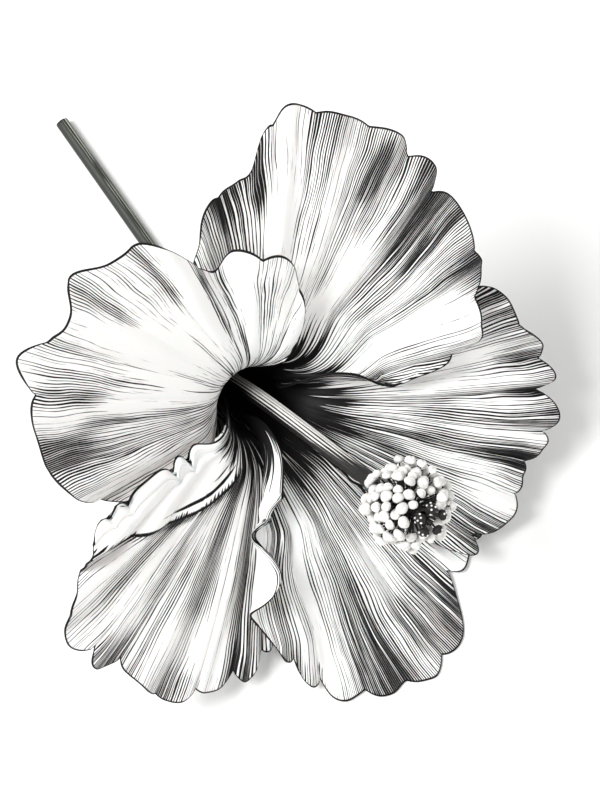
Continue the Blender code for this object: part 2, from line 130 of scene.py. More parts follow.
# How heavy the veins are, as a share of their pitch, and where.
# Painted shade: heavier veins along the creases that run in from the notches.
CREASE_SHADE_TONE = 0.22
# Painted light and shade: heavier veins in the pleats' valleys, lighter ones on their crests.
PLEAT_LIGHT_SHADE_TONE = 0.10
PLEAT_LIGHT_SHADE_TONE_START = 30.0 * MM
RIM_HATCH = 0.26
RIM_HATCH_LENGTH = 11.0 * MM
RIM_HATCH_WAVES = 5.3
THROAT_HATCH = 0.42
THROAT_HATCH_START = 22.0
THROAT_HATCH_END = 42.0
THROAT_HATCH_UNEVEN = 10.0
SHADE_FADE = 4.0
# Painted shade of heavier veins just before the ridge, and a painted highlight of lighter veins past it.
RIDGE_SHADE_TONE = 0.4
PAST_RIDGE_HIGHLIGHT_TONE = -0.6
EYE_TONE = 1.5
EYE_FADE = (0.62, 1.3)
MARGIN_LINE_START = 20.0 * MM
MARGIN_LINE_FULL = 30.0 * MM

# The veins' lines: sets of (lines across a petal, shift by a share of a step), from coarse to fine.
VEIN_SETS = ((16.0, 0.0), (16.0005, 0.5), (32.0, 0.0), (64.0, 0.0), (128.0, 0.0))
VEIN_SWAY = 0.035
LINE_LOT = 0.28
LINE_BREAK = 0.6
HEAVIEST_LINE = 0.66
LINE_SHARE = 0.6
LINE_SOFTNESS = 0.05 * MM
FAINTEST_LINE = (0.01 * MM, 0.05 * MM)
PATCH_TONE = 0.5

# Each petal, from the front margin to the margin behind:
# outline: (azimuth in degrees, length in millimetres) along the rim
# swells: (azimuth, spread, height in millimetres) of the blade towards the mouth's inside
# curls: (from, to, width, radius in millimetres) where the front margin folds over, inwards
# ridge: (distance in millimetres, azimuth) along which the front margin bends back, outwards
# frill: how far the front margin waves, in millimetres
# hatch: how heavy the short veins at the rim and at the throat are
# eye: length of the dark eye at the throat, in millimetres
# bands: (azimuth, spread, from, to in millimetres, amount) of painted shade, as heavier veining, and painted
# highlights, as lighter veining for amounts below 0
# veining: how heavy the veins are all over a petal; it differs from petal to petal as painted shade
PETALS = {
    "petal_top": {
        "claw": 72.0,
        "outline": (
            (12, 43), (14.5, 51), (19, 60), (27, 63), (36, 68), (48, 72), (60, 76), (72, 80), (84, 81.5),
            (92, 83), (96.5, 83), (99.5, 79), (101.5, 70.5), (105, 68), (110, 68), (117, 62), (123, 53),
            (130, 40), (136, 28),
        ),
        "swells": ((22, 12, 2.5), (74, 18, 1.2), (101, 4, -2.0), (116, 12, -3.0)),
        "curls": ((18, 43, 7.5, 1.2),),
        "ridge": (),
        "frill": 0.5,
        "phase": 0.4,
        "hatch": 0.9,
        "veining": 0.13,
        "eye": 25.0,
        "light_and_shade": (
            (86, 2, 50, 84, 0.22), (76, 2, 42, 78, 0.22), (74, 1.6, 65, 77, 0.6), (63, 10, 56, 90, 0.20),
            (50, 8, 42, 90, 0.18), (51.5, 1.2, 54, 90, 0.3), (64.7, 1.2, 58, 90, 0.3),
            (40.7, 1.2, 50, 90, 0.2), (33.5, 4, 42, 64, -0.3), (25, 4, 46, 90, 0.18),
            (100.5, 1.6, 60, 90, 0.5), (112, 8, 40, 90, 0.3), (93, 4, 38, 90, -0.12), (69, 3, 38, 56, -0.2),
            (17, 7, 24, 42, 0.3), (34, 3, 26, 42, -0.25),
        ),
    },
    "petal_right": {
        "claw": 0.0,
        "outline": (
            (-44, 50), (-42, 60), (-38, 69), (-32, 73), (-25, 75.5), (-14, 75), (-6, 79.5), (4, 78),
            (12, 77), (18, 73), (26, 71), (32, 67), (42, 56), (49, 42), (53, 29),
        ),
        "swells": ((-38, 12, 1.5), (4, 16, 1.2), (44, 12, -1.5)),
        "curls": (),
        "ridge": (),
        "frill": 0.5,
        "phase": 2.1,
        "hatch": 1.0,
        "veining": 0.24,
        "eye": 27.0,
        "light_and_shade": (
            (12, 5, 28, 66, -0.32), (29, 6, 50, 90, 0.16), (5, 2.5, 50, 90, 0.12), (-3.5, 1.8, 48, 90, 0.14),
            (0.5, 1.4, 56, 90, -0.3), (-7.5, 1.4, 58, 80, -0.3), (-11, 3, 38, 74, 0.2),
            (-22, 3, 62, 77, -0.4), (-28, 4, 40, 90, 0.16), (-38, 5, 40, 90, 0.16), (-20, 8, 30, 54, 0.12),
        ),
    },
    "petal_lower_right": {
        "claw": -72.0,
        "outline": (
            (-107, 46), (-103, 56), (-98, 62), (-93, 67), (-86, 74), (-80, 80), (-72, 83), (-62, 85),
            (-52, 84), (-46, 76), (-40, 74), (-32, 73), (-24, 68), (-16, 54), (-9, 32),
        ),
        "swells": ((-97, 8, 2.5), (-60, 16, -1.0), (-22, 12, -1.5)),
        "curls": ((15, 48, 6.2, 1.2), (43, 67, 8.0, 1.3)),
        "ridge": (),
        "frill": 1.2,
        "phase": 3.3,
        "hatch": 1.0,
        "veining": 0.27,
        "eye": 26.0,
        "light_and_shade": (
            (-99, 4, 22, 70, -0.8), (-89, 3, 28, 60, 0.25), (-80, 1.8, 40, 70, -0.36),
            (-80, 4, 68, 81, -0.4), (-54, 10, 28, 52, 0.05), (-68, 4, 58, 78, 0.15), (-55, 4, 53, 67, -0.24),
            (-58, 2.4, 67, 79, 0.3), (-46, 3, 62, 80, 0.16), (-41.5, 2, 64, 80, -0.4), (-24, 6, 40, 90, 0.1),
        ),
    },
    "petal_lower_left": {
        "claw": -144.0,
        "outline": (
            (-160, 58), (-157, 67), (-150, 72), (-143, 80), (-134, 83), (-123, 80), (-112, 82), (-104, 78),
            (-96, 75), (-90, 68), (-82, 58), (-76, 44), (-72, 29),
        ),
        "swells": ((-154, 7, 2.0), (-120, 20, -3.0), (-84, 12, -1.5), (-128, 3, 2.8)),
        "curls": (),
        "ridge": ((28, -112), (34, -121), (44, -134), (51, -142), (61, -150), (72, -155)),
        "frill": 3.2,
        "phase": 5.0,
        "hatch": 0.9,
        "veining": 0.08,
        "eye": 25.0,
        "light_and_shade": (
            (-130, 2.2, 34, 66, 0.3), (-116, 4.5, 30, 64, 0.42),
            (-100, 7, 28, 90, 0.2), (-109, 3.5, 62, 73, -0.3), (-97, 4, 60, 74, 0.1), (-130, 3, 73, 90, 0.2),
            (-123, 1.4, 50, 90, 0.3), (-139, 1.2, 40, 70, 0.2), (-154, 1.2, 50, 68, 0.3),
        ),
    },
    "petal_left": {
        "claw": 144.0,
        "outline": (
            (70, 26), (80, 36), (89, 45), (98, 54), (106, 59), (114, 59), (120, 53), (126, 61), (133, 72),
            (141, 74), (148, 79), (154, 74), (163, 80), (172, 78), (181, 72), (190, 69), (200, 63),
            (210, 52), (218, 38), (223, 28),
        ),
        "swells": ((98, 15, 5.0), (120, 5, -3.4), (134, 9, 1.5), (200, 14, -2.0)),
        "curls": (),
        "ridge": (),
        "frill": 0.3,
        "phase": 1.2,
        "hatch": 0.45,
        "veining": -0.04,
        "eye": 19.0,
        "light_and_shade": (
            (104, 5, 36, 50, 0.26), (96, 5, 27, 36, 0.2), (119, 1.2, 18, 60, 0.55), (126, 1.2, 26, 58, 0.45),
            (135, 2.4, 54, 76, 0.36), (149, 2, 58, 77, 0.3), (158, 1.2, 20, 46, 0.3),
            (167.5, 3, 44, 76, 0.3),
            (172, 3, 60, 90, 0.34), (178, 2, 22, 62, 0.45), (193, 9, 26, 90, 0.36), (184, 5, 58, 90, 0.24),
            (141, 1.2, 22, 46, 0.25),
        ),
    },
}

# The column's line: straight out of the throat, leaning over, then turning back up towards its end.
COLUMN_LENGTH = 77.0 * MM
COLUMN_LEAN = 28.0
LEAN_START = 14.0 * MM
LEAN_END = 36.0 * MM
COLUMN_RETURN = 24.0
RETURN_START = 44.0 * MM
RETURN_END = 64.0 * MM
COLUMN_LEAN_AZIMUTH = -41.0
COLUMN_TIP = 1.2 * MM
ANTHER_ZONE = 9.6 * MM
ANTHER_ZONE_START = COLUMN_LENGTH - COLUMN_TIP - ANTHER_ZONE
BORE_FOOT_RADIUS = 2.75 * MM
BORE_FOOT_HEIGHT = 6.0 * MM
FOOT_HEIGHT = 10.0 * MM
RIB_COUNT = 10.0
RIB_DEPTH = 0.035
# Painted shade below the ball of anthers: the column's lines grow heavier between these heights.
COLUMN_SHADE_BELOW_BALL = (ANTHER_ZONE_START - 26.0 * MM, ANTHER_ZONE_START - 6.0 * MM)
# The column's and the calyx's side that faces the light; their lines are drawn heavier on the far side, as
# painted shade.
LIT_SIDE = (-0.10, 0.995)

# The ball of anthers is open at its pole, round the stigmas, and at its foot, round the column.
GOLDEN_TURN = math.pi * (3.0 - math.sqrt(5.0))
BALL_OPENING = math.radians(29.0)
BALL_FOOT = math.radians(152.0)

# The pistil, in the column and out at its end.
OVARY_RADIUS = 2.2 * MM
OVARY_TOP = 6.35 * MM
STYLE_START = 6.2 * MM
STYLE_PAST_COLUMN = 1.4 * MM
STYLE_RADIUS = 0.42 * MM
BRANCH_COUNT = 5
BRANCH_START = 0.2 * MM
BRANCH_REACH = 2.2 * MM
BRANCH_RISE = 1.9 * MM
BRANCH_RADIUS = 0.26 * MM
BRANCH_TAPER = 0.04 * MM
STIGMA_PAST_BRANCH = 0.35 * MM
STIGMA_SIZE = (1.15, 1.15, 0.85)
# White grains on the dark stigmas: pollen grains that also stand for glints, as painted highlights.
POLLEN_GLINTS_PER_STIGMA = 6
POLLEN_GLINT_SIZE = (0.24, 0.24, 0.24)
POLLEN_GLINT_PLACE = (1.1, 1.1, 0.82)
POLLEN_GLINT_TURN = 2.399

# The calyx and the bracteoles.
CALYX_FOOT = -2.2 * MM
CALYX_FOOT_RADIUS = 6.6 * MM
CALYX_FOOT_END = 5.0 * MM
CALYX_OFF_FUNNEL = 2.5 * MM
CALYX_NOTCH_HEIGHT = 12.0 * MM
CALYX_LOBE_HEIGHT = 10.5 * MM
CALYX_TOP = CALYX_NOTCH_HEIGHT + CALYX_LOBE_HEIGHT
CALYX_FLARE = 3.4 * MM
CALYX_SEAM_HEIGHT = 0.35 * MM
CALYX_RIB_HEIGHT = 0.10 * MM
CALYX_RIB_COUNT = 40.0
CALYX_THICKNESS = 0.55 * MM
BRACTEOLE_COUNT = 7
BRACTEOLE_LENGTH = 12.0 * MM
BRACTEOLE_WIDTH = 1.9 * MM
BRACTEOLE_THICKNESS = 0.5 * MM
BRACTEOLE_ROOT_RADIUS = 5.8 * MM
BRACTEOLE_ROOT_HEIGHT = -2.9 * MM
BRACTEOLE_CHANNEL = 0.5 * MM
BRACTEOLE_SWAY = 0.5 * MM

# The stem's line on the table, from the point below the receptacle.
RECEPTACLE_TOP = -0.3 * MM
RECEPTACLE_NECK = ((0.0, 5.9), (2.0, 5.9), (3.1, 4.2), (4.4, 2.7))
STEM_TOUCHDOWN = Vector((-0.0100, 0.0242, 0.00145))
STEM_CUT = Vector((-0.0350, 0.0617, 0.00145))
STEM_NECK_ARM = 0.21
STEM_LYING_ARM = 0.45
STEM_STEPS = 60
STEM_NECK_LENGTH = 5.0 * MM
STEM_NECK_SWELL = 0.55 * MM
STEM_KNOT_PLACE = 9.0 * MM
STEM_KNOT_SPREAD = 1.4 * MM
STEM_KNOT_SWELL = 0.35 * MM
# The stem's side that faces the light; its lines are drawn heavier on the far side, as painted shade.
STEM_LIT_SIDE = (-0.85, 0.53)

# The stage.
FLOOR_SIZE = 3.0
WORLD_STRENGTH = 0.55
LIGHTS = (
    ("key", (-0.55, -0.10, 0.75), (0.0, 0.0, 0.03), 0.45, 9.0),
    ("fill", (0.75, -0.45, 0.65), (0.0, 0.0, 0.02), 0.8, 3.6),
)
SENSOR_WIDTH = 36.0
IMAGE_SHAPE = 600 / 800


class PetalSettings(bpy.types.PropertyGroup):
    """Shape and finish of the petals."""

    steps_across: IntProperty(
        name="Steps across", description="Grid steps across a petal", default=230, min=40
    )
    steps_along: IntProperty(name="Steps along", description="Grid steps along a petal", default=110, min=30)
    thickness: FloatProperty(
        name="Thickness", description="Thickness of a petal",
        default=0.42 * MM, unit="LENGTH", precision=5,
    )
    pleats: FloatProperty(name="Pleats", description="Broad pleats across a petal", default=7.0)
    pleat_height: FloatProperty(
        name="Pleat height", description="Height of the broad pleats",
        default=0.9 * MM, unit="LENGTH", precision=5,
    )
    lobes: FloatProperty(name="Lobes", description="Small lobes along a petal's rim", default=11.0)
    lobe_depth: FloatProperty(
        name="Lobe depth", description="Depth of the notches between the lobes",
        default=3.6 * MM, unit="LENGTH", precision=5,
    )
    crease_depth: FloatProperty(
        name="Crease depth", description="Depth of the crease running in from each notch", default=1.3 * MM,
        unit="LENGTH", precision=5,
    )
    ruffle_height: FloatProperty(
        name="Ruffle height", description="Height of the waves along the rim",
        default=1.0 * MM, unit="LENGTH", precision=5,
    )
    white: FloatVectorProperty(
        name="White", description="Colour of the blade", default=(0.93, 0.925, 0.91), subtype="COLOR"
    )
    ink: FloatVectorProperty(
        name="Vein", description="Colour of the veins, the rim and the eye", default=(0.004, 0.0035, 0.004),
        subtype="COLOR",
    )
    vein_pitch: FloatProperty(
        name="Vein pitch", description="Distance between the finest veins",
        default=0.56 * MM, unit="LENGTH", precision=5,
    )
    rim_width: FloatProperty(
        name="Rim width", description="Width of the dark line along the margin",
        default=0.34 * MM, unit="LENGTH", precision=5,
    )


class ColumnSettings(bpy.types.PropertyGroup):
    """Shape and finish of the column, the stamens and the pistil."""

    radius: FloatProperty(
        name="Radius", description="Radius of the column",
        default=1.7 * MM, unit="LENGTH", precision=5,
    )
    foot_radius: FloatProperty(
        name="Foot radius", description="Radius of the column's foot",
        default=3.6 * MM, unit="LENGTH", precision=5,
    )
    anthers: IntProperty(name="Anthers", description="Number of stamens", default=140, min=10)
    anther_length: FloatProperty(
        name="Anther length", description="Length of one anther",
        default=2.7 * MM, unit="LENGTH", precision=5,
    )
    ball_radius: FloatProperty(
        name="Ball radius", description="Radius of the ball of anthers",
        default=8.7 * MM, unit="LENGTH", precision=5,
    )
    filament_radius: FloatProperty(
        name="Filament radius", description="Radius of a filament",
        default=0.17 * MM, unit="LENGTH", precision=5,
    )
    ivory: FloatVectorProperty(
        name="Ivory", description="Colour of the column", default=(0.80, 0.79, 0.76), subtype="COLOR"
    )
    anther_white: FloatVectorProperty(
        name="Anther", description="Colour of the anthers", default=(0.90, 0.89, 0.86), subtype="COLOR"
    )
    dark: FloatVectorProperty(
        name="Dark", description="Colour of the filaments and the stigmas", default=(0.006, 0.005, 0.005),
        subtype="COLOR",
    )


class GreenSettings(bpy.types.PropertyGroup):
    """Shape and finish of the calyx, the bracteoles and the stem."""

    stem_radius: FloatProperty(
        name="Stem radius", description="Radius of the stem",
        default=1.45 * MM, unit="LENGTH", precision=5,
    )
    light: FloatVectorProperty(
        name="Light", description="Lighter colour of the green parts", default=(0.62, 0.65, 0.55),
        subtype="COLOR",
    )
    dark: FloatVectorProperty(
        name="Dark", description="Darker colour of the green parts", default=(0.022, 0.026, 0.019),
        subtype="COLOR",
    )
    pith: FloatVectorProperty(
        name="Pith", description="Colour of the cut end's middle", default=(0.70, 0.72, 0.60),
        subtype="COLOR",
    )


class StageSettings(bpy.types.PropertyGroup):
    """Floor, light and camera."""

    floor: FloatVectorProperty(
        name="Floor", description="Colour of the floor", default=(0.93, 0.93, 0.92), subtype="COLOR"
    )
    elevation: FloatProperty(
        name="Elevation", description="How far the camera looks down", default=math.radians(70.0),
        subtype="ANGLE",
    )
    lens: FloatProperty(name="Lens", description="Focal length in millimetres", default=135.0)
    fill: FloatProperty(
        name="Fill", description="Share of the image's width that the flower fills", default=0.88
    )


def smooth_rise(value, low, high):
    """0 below low, 1 above high, and an even S between them."""
    t = np.clip((value - low) / (high - low), 0.0, 1.0)
    return t * t * (3.0 - 2.0 * t)


def curve_through(points, x):
    """The smooth curve through (x, y) points, read at x."""
    xs, ys = np.array(points, float).T
    slopes = np.gradient(ys, xs)
    i = np.clip(np.searchsorted(xs, x) - 1, 0, len(xs) - 2)
    step = xs[i + 1] - xs[i]
    t = (x - xs[i]) / step
    return (
        (1 + 2 * t) * (1 - t) ** 2 * ys[i]
        + t * (1 - t) ** 2 * step * slopes[i]
        + t**2 * (3 - 2 * t) * ys[i + 1]
        + t**2 * (t - 1) * step * slopes[i + 1]
    )


def funnel_profile():
    """The funnel's line from the claw outwards: distance, radius, height and slope from the axis."""
    step = 0.25 * MM
    distance = np.arange(0.0, LONGEST_PETAL, step)
    slope = np.radians(
        FUNNEL_SLOPE
        + BLADE_SLOPE * smooth_rise(distance, FUNNEL_END, BLADE_START)
        + RIM_SLOPE * np.clip((distance - RIM_START) / (LONGEST_PETAL - RIM_START), 0.0, 1.0)
    )
    radius = CLAW_RADIUS + np.cumsum(np.sin(slope)) * step
    height = np.cumsum(np.cos(slope)) * step
    return distance, radius, height, slope


FUNNEL = funnel_profile()


def flower_place():
    """The matrix that lays the flower's own frame on the table."""
    heading = Matrix.Rotation(math.radians(AXIS_HEADING), 4, "Z")
    lean = Matrix.Rotation(math.radians(90.0 - AXIS_RISE), 4, "Y")
    turn = Matrix.Rotation(math.radians(AXIS_TURN), 4, "Z")
    return Matrix.Translation(RECEPTACLE_PLACE) @ heading @ lean @ turn


def lay_down(points):
    """Points of the flower's own frame, laid on the table."""
    place = np.array(flower_place())
    return points @ place[:3, :3].T + place[:3, 3]


def bend_along_table(laid, thickness):
    """Bends what would be under the table so that it lies along it."""
    height = laid[:, 2] - thickness / 2
    low = TABLE_BEND * np.exp(np.minimum(height / TABLE_BEND, 1.0) - 1.0)
    bent = np.where(height > TABLE_BEND, height, low)
    outward = laid[:, :2] - np.array(RECEPTACLE_PLACE)[:2]
    outward = outward / np.linalg.norm(outward, axis=1, keepdims=True)
    laid[:, :2] += outward * (bent - height)[:, None] * TABLE_SLIDE
    laid[:, 2] = bent + thickness / 2
    return laid


def waves(count, share, phase):
    """A sine that waves count times as share goes from 0 to 1."""
    return np.sin(2.0 * math.pi * count * share + phase)


def bell(value, spread):
    """1 at 0, and falling to both sides."""
    return np.exp(-((value / spread) ** 2))


class PetalSheet:
    """One petal's middle sheet, read at arrays of across and along. Across is 0 at the front margin and 1
    at the one behind, and along is 0 at the claw and 1 at the rim."""

    def __init__(self, petal, across, along, settings):
        self.petal, self.settings = petal, settings
        self.across, self.along = across, along
        self.phase = petal["phase"]
        self.wander = across
        for order, (count, reach) in enumerate(WANDER_WAVES, 1):
            self.wander = self.wander + reach * waves(count, across, order * self.phase)
        self.pleat = np.cos(2.0 * math.pi * settings.pleats * self.wander + self.phase)
        scallop = np.abs(np.sin(math.pi * settings.lobes * self.wander + self.phase))
        self.notch = 1.0 - scallop**LOBE_SHARPNESS
        self.lay_out(petal["outline"])
        self.past_ridge = np.full_like(across, -LONGEST_PETAL)
        self.on_ridge = np.zeros_like(across)
        if petal["ridge"]:
            self.find_ridge(np.array(petal["ridge"], float))

    def lay_out(self, outline):
        """Where each point is on the funnel, and how far it is from the margins and the rim."""
        claw = self.petal["claw"]
        front, behind = outline[0][0], outline[-1][0]
        blade_azimuth = front + self.across * (behind - front)
        length = curve_through(outline, blade_azimuth) * MM
        mean, span = LOBE_UNEVEN
        uneven = mean + span * waves(LOBE_UNEVEN_WAVES, self.across, 3.0 * self.phase)
        grown = smooth_rise(length, LOBE_START, BLADE_FULL)
        length = length - self.settings.lobe_depth * self.notch * uneven * grown
        self.distance = self.along * length
        spread = smooth_rise(self.distance, CLAW_END, SPREAD_END)
        claw_azimuth = claw + (self.across - 0.5) * CLAW_SPREAD
        self.azimuth = claw_azimuth * (1.0 - spread) + blade_azimuth * spread
        self.middle = claw * (1.0 - spread) + (front + behind) / 2 * spread
        degrees_across = CLAW_SPREAD * (1.0 - spread) + (behind - front) * spread
        self.funnel_radius, self.funnel_height, self.funnel_slope = (
            np.interp(self.distance, FUNNEL[0], values) for values in FUNNEL[1:]
        )
        self.width = np.radians(degrees_across) * self.funnel_radius
        self.to_front = self.across * self.width
        self.to_behind = (1.0 - self.across) * self.width
        self.to_rim = length - self.distance

    def find_ridge(self, ridge):
        """How far each point is past the ridge, on the side of the front margin."""
        azimuth = np.interp(self.distance, ridge[:, 0] * MM, ridge[:, 1])
        self.past_ridge = np.radians(azimuth - self.azimuth) * self.funnel_radius
        start = ridge[0, 0] * MM
        self.on_ridge = smooth_rise(self.distance, start, start + RIDGE_FADE)

    def offset(self):
        """How far the sheet stands off the funnel, towards the mouth's inside."""
        settings = self.settings
        lap = CLAW_LAP + (RIM_LAP - CLAW_LAP) * smooth_rise(self.distance, LAP_START, LAP_END)
        offset = lap * (self.middle - self.azimuth) * PETAL_COUNT / 360.0
        offset += settings.pleat_height * self.pleat * smooth_rise(self.distance, PLEAT_START, PLEAT_END)
        crease = self.notch**CREASE_SHARPNESS * smooth_rise(self.along, CREASE_FROM, 1.0)
        offset -= settings.crease_depth * crease
        edge = smooth_rise(self.along, RUFFLE_FROM, 1.0) * smooth_rise(self.distance, SPREAD_END, BLADE_FULL)
        ruffle = edge * waves(RUFFLE_WAVES, self.wander, 2.0 * self.phase)
        ruffle += FINE_RUFFLE * edge**2 * waves(FINE_RUFFLE_WAVES, self.wander, self.phase)
        offset += settings.ruffle_height * ruffle
        grown = self.along**2 * smooth_rise(self.distance, SWELL_START, BLADE_FULL)
        for azimuth, spread, height in self.petal["swells"]:
            offset += height * MM * bell(self.azimuth - azimuth, spread) * grown
        crest = RIDGE_HEIGHT * np.exp(-np.abs(self.past_ridge) / RIDGE_SPREAD)
        offset += self.on_ridge * (crest - RIDGE_FALL * np.clip(self.past_ridge, 0.0, None))
        return offset

    def curl(self):
        """How far the folded front margin rises, and how far it comes back over the blade."""
        lift = np.zeros_like(self.across)
        back = np.zeros_like(self.across)
        for start, end, width, radius in np.array(self.petal["curls"]).reshape(-1, 4) * MM:
            middle, half = (start + end) / 2, (end - start) / 2
            place = np.clip(1.0 - ((self.distance - middle) / half) ** 2, 1e-4, 1.0)
            past = np.clip(width * place - self.to_front, 0.0, None)
            most = CURL_TURN * place**0.5
            turn = np.minimum(past / radius, most)
            flap = np.clip(past - most * radius, 0.0, None)
            lift += (1.0 - np.cos(turn)) * radius + flap * np.sin(most)
            back += past - np.sin(turn) * radius - flap * np.cos(most)
            near, far = CURL_STRETCH_FADE
            stretch = 1.0 - smooth_rise(self.to_front, near * width, far * width)
            back -= (width - radius) * CURL_STRETCH * place**1.6 * stretch
        return lift, back

    def frill(self):
        """How far the waving front margin comes in."""
        near = 1.0 - smooth_rise(self.to_front, 0.0, FRILL_REACH)
        phase = math.pi * self.distance / FRILL_LENGTH + self.phase
        phase += FRILL_DRIFT * waves(1.0, self.distance / FRILL_DRIFT_LENGTH, 0.6)
        notch = 1.0 - np.abs(np.sin(phase)) ** FRILL_SHARPNESS
        deep = 1.0 + 0.35 * np.sin(0.37 * phase + 1.0)
        grown = smooth_rise(self.distance, FRILL_START, FRILL_END)
        return self.petal["frill"] * MM * deep * notch * near * grown

    def points(self):
        """The sheet in the flower's own frame."""
        lift, back = self.curl()
        offset = self.offset() + lift
        angle = np.radians(self.azimuth) + (back + self.frill()) / self.funnel_radius
        radius = self.funnel_radius - offset * np.cos(self.funnel_slope)
        height = self.funnel_height + offset * np.sin(self.funnel_slope)
        return np.stack((radius * np.cos(angle), radius * np.sin(angle), height), -1)

    def tone(self):
        """How heavy the veins are: 0 for none, 1 where they run together. It also paints shade, as heavier
        veins in creases, pleat valleys, before the ridge and in shaded bands, and painted highlights, as
        lighter veins on crests, past the ridge and in lit bands.
        """
        petal = self.petal
        # The veins' own weight for the petal, which differs from petal to petal as painted shade, and
        # painted shade along the creases from the notches.
        tone = petal["veining"] + CREASE_SHADE_TONE * self.notch * smooth_rise(self.along, 0.5, 1.0)
        # Painted shade in the pleats' valleys and painted highlights on their crests.
        tone -= PLEAT_LIGHT_SHADE_TONE * self.pleat * smooth_rise(self.distance, PLEAT_LIGHT_SHADE_TONE_START, BLADE_FULL)
        uneven = 0.5 + 0.5 * waves(RIM_HATCH_WAVES, self.across, 2.0 * self.phase)
        hatch = RIM_HATCH * uneven * (1.0 - smooth_rise(self.to_rim, 0.0, RIM_HATCH_LENGTH))
        end = (THROAT_HATCH_END + THROAT_HATCH_UNEVEN * uneven) * MM
        hatch += THROAT_HATCH * (1.0 - smooth_rise(self.distance, THROAT_HATCH_START * MM, end))
        tone += petal["hatch"] * hatch
        # Bands of painted shade, as heavier veins, and of painted highlights, as lighter ones.
        for azimuth, spread, start, end, amount in petal["light_and_shade"]:
            place = smooth_rise(self.distance, (start - SHADE_FADE) * MM, (start + SHADE_FADE) * MM)
            place *= 1.0 - smooth_rise(self.distance, (end - SHADE_FADE) * MM, (end + SHADE_FADE) * MM)
            tone += amount * bell(self.azimuth - azimuth, spread) * place
        # Painted shade of heavier veins just before the ridge, and a painted highlight of lighter veins past
        # it.
        before = RIDGE_SHADE_TONE * bell(self.past_ridge + 0.8 * MM, MM)
        tone += self.on_ridge * (before + PAST_RIDGE_HIGHLIGHT_TONE * smooth_rise(self.past_ridge, 0.0, 1.2 * MM))
        return np.clip(tone, -0.2, 1.0)

    def eye(self):
        """How much the dark eye adds to the veins."""
        ragged = 1.0 + 0.16 * waves(8.7, self.wander, self.phase) + 0.1 * np.sin(150.0 * self.across)
        reach = self.petal["eye"] * MM * ragged
        full, none = EYE_FADE
        return EYE_TONE * (1.0 - smooth_rise(self.distance, full * reach, none * reach))

    def margin(self):
        """How far it is to the dark line along the margin, and to those along the ridge."""
        margin = np.minimum(np.minimum(self.to_front, self.to_behind), self.to_rim)
        margin = margin + 2.0 * MM * (1.0 - smooth_rise(self.distance, MARGIN_LINE_START, MARGIN_LINE_FULL))
        for place, reach in RIDGE_LINES:
            fade = 1.0 - self.on_ridge + smooth_rise(self.distance, reach - RIDGE_LINE_FADE, reach)
            margin = np.minimum(margin, np.abs(self.past_ridge - place) + 0.4 * MM * fade)
        return margin


class Nodes:
    """A short way to write a material's nodes."""

    def __init__(self, tree):
        self.tree = tree

    def add(self, kind, **settings):
        node = self.tree.nodes.new(kind)
        for name, value in settings.items():
            setattr(node, name, value)
        return node

    def put(self, socket, value):
        """Links a socket to another one, or sets its value."""
        if isinstance(value, bpy.types.NodeSocket):
            self.tree.links.new(value, socket)
        else:
            socket.default_value = value

    def math(self, operation, *values):
        node = self.add("ShaderNodeMath", operation=operation)
        for socket, value in zip(node.inputs, values):
            self.put(socket, value)
        return node.outputs[0]

    def ramp(self, value, low, high, start=0.0, end=1.0):
        """An even S from start to end as value goes from low to high."""
        node = self.add("ShaderNodeMapRange", interpolation_type="SMOOTHSTEP")
        names = ("Value", "From Min", "From Max", "To Min", "To Max")
        for name, given in zip(names, (value, low, high, start, end)):
            self.put(node.inputs[name], given)
        return node.outputs[0]

    def band(self, value, half, soft):
        """1 where value is under half, 0 where it is over, with an edge that is soft to both sides."""
        low, high = self.math("SUBTRACT", half, soft), self.math("ADD", half, soft)
        return self.ramp(value, low, high, 1.0, 0.0)

    def off_middle(self, phase):
        """0 in the middle of each whole step of phase, and a half at its ends."""
        return self.math("ABSOLUTE", self.math("SUBTRACT", self.math("FRACT", phase), 0.5))

    def attribute(self, name, output="Fac"):
        return self.add("ShaderNodeAttribute", attribute_name=name).outputs[output]

    def combine(self, x, y, z=0.0):
        node = self.add("ShaderNodeCombineXYZ")
        for socket, value in zip(node.inputs, (x, y, z)):
            self.put(socket, value)
        return node.outputs[0]

    def noise(self, vector, scale, detail=2.0, roughness=0.5):
        node = self.add("ShaderNodeTexNoise")
        self.put(node.inputs["Vector"], vector)
        self.put(node.inputs["Scale"], scale)
        self.put(node.inputs["Detail"], detail)
        self.put(node.inputs["Roughness"], roughness)
        return node.outputs["Fac"]

    def mix(self, factor, first, second):
        node = self.add("ShaderNodeMix", data_type="RGBA")
        self.put(node.inputs[0], factor)
        self.put(node.inputs[6], first)
        self.put(node.inputs[7], second)
        return node.outputs[2]

    def bump(self, height, distance, strength=1.0, normal=None):
        node = self.add("ShaderNodeBump")
        self.put(node.inputs["Height"], height)
        self.put(node.inputs["Distance"], distance)
        self.put(node.inputs["Strength"], strength)
        if normal is not None:
            self.put(node.inputs["Normal"], normal)
        return node.outputs[0]


def new_material(name):
    """A material, its nodes and its shader."""
    material = bpy.data.materials.new(name)
    material.use_nodes = True
    shader = material.node_tree.nodes["Principled BSDF"]
    return material, Nodes(material.node_tree), shader


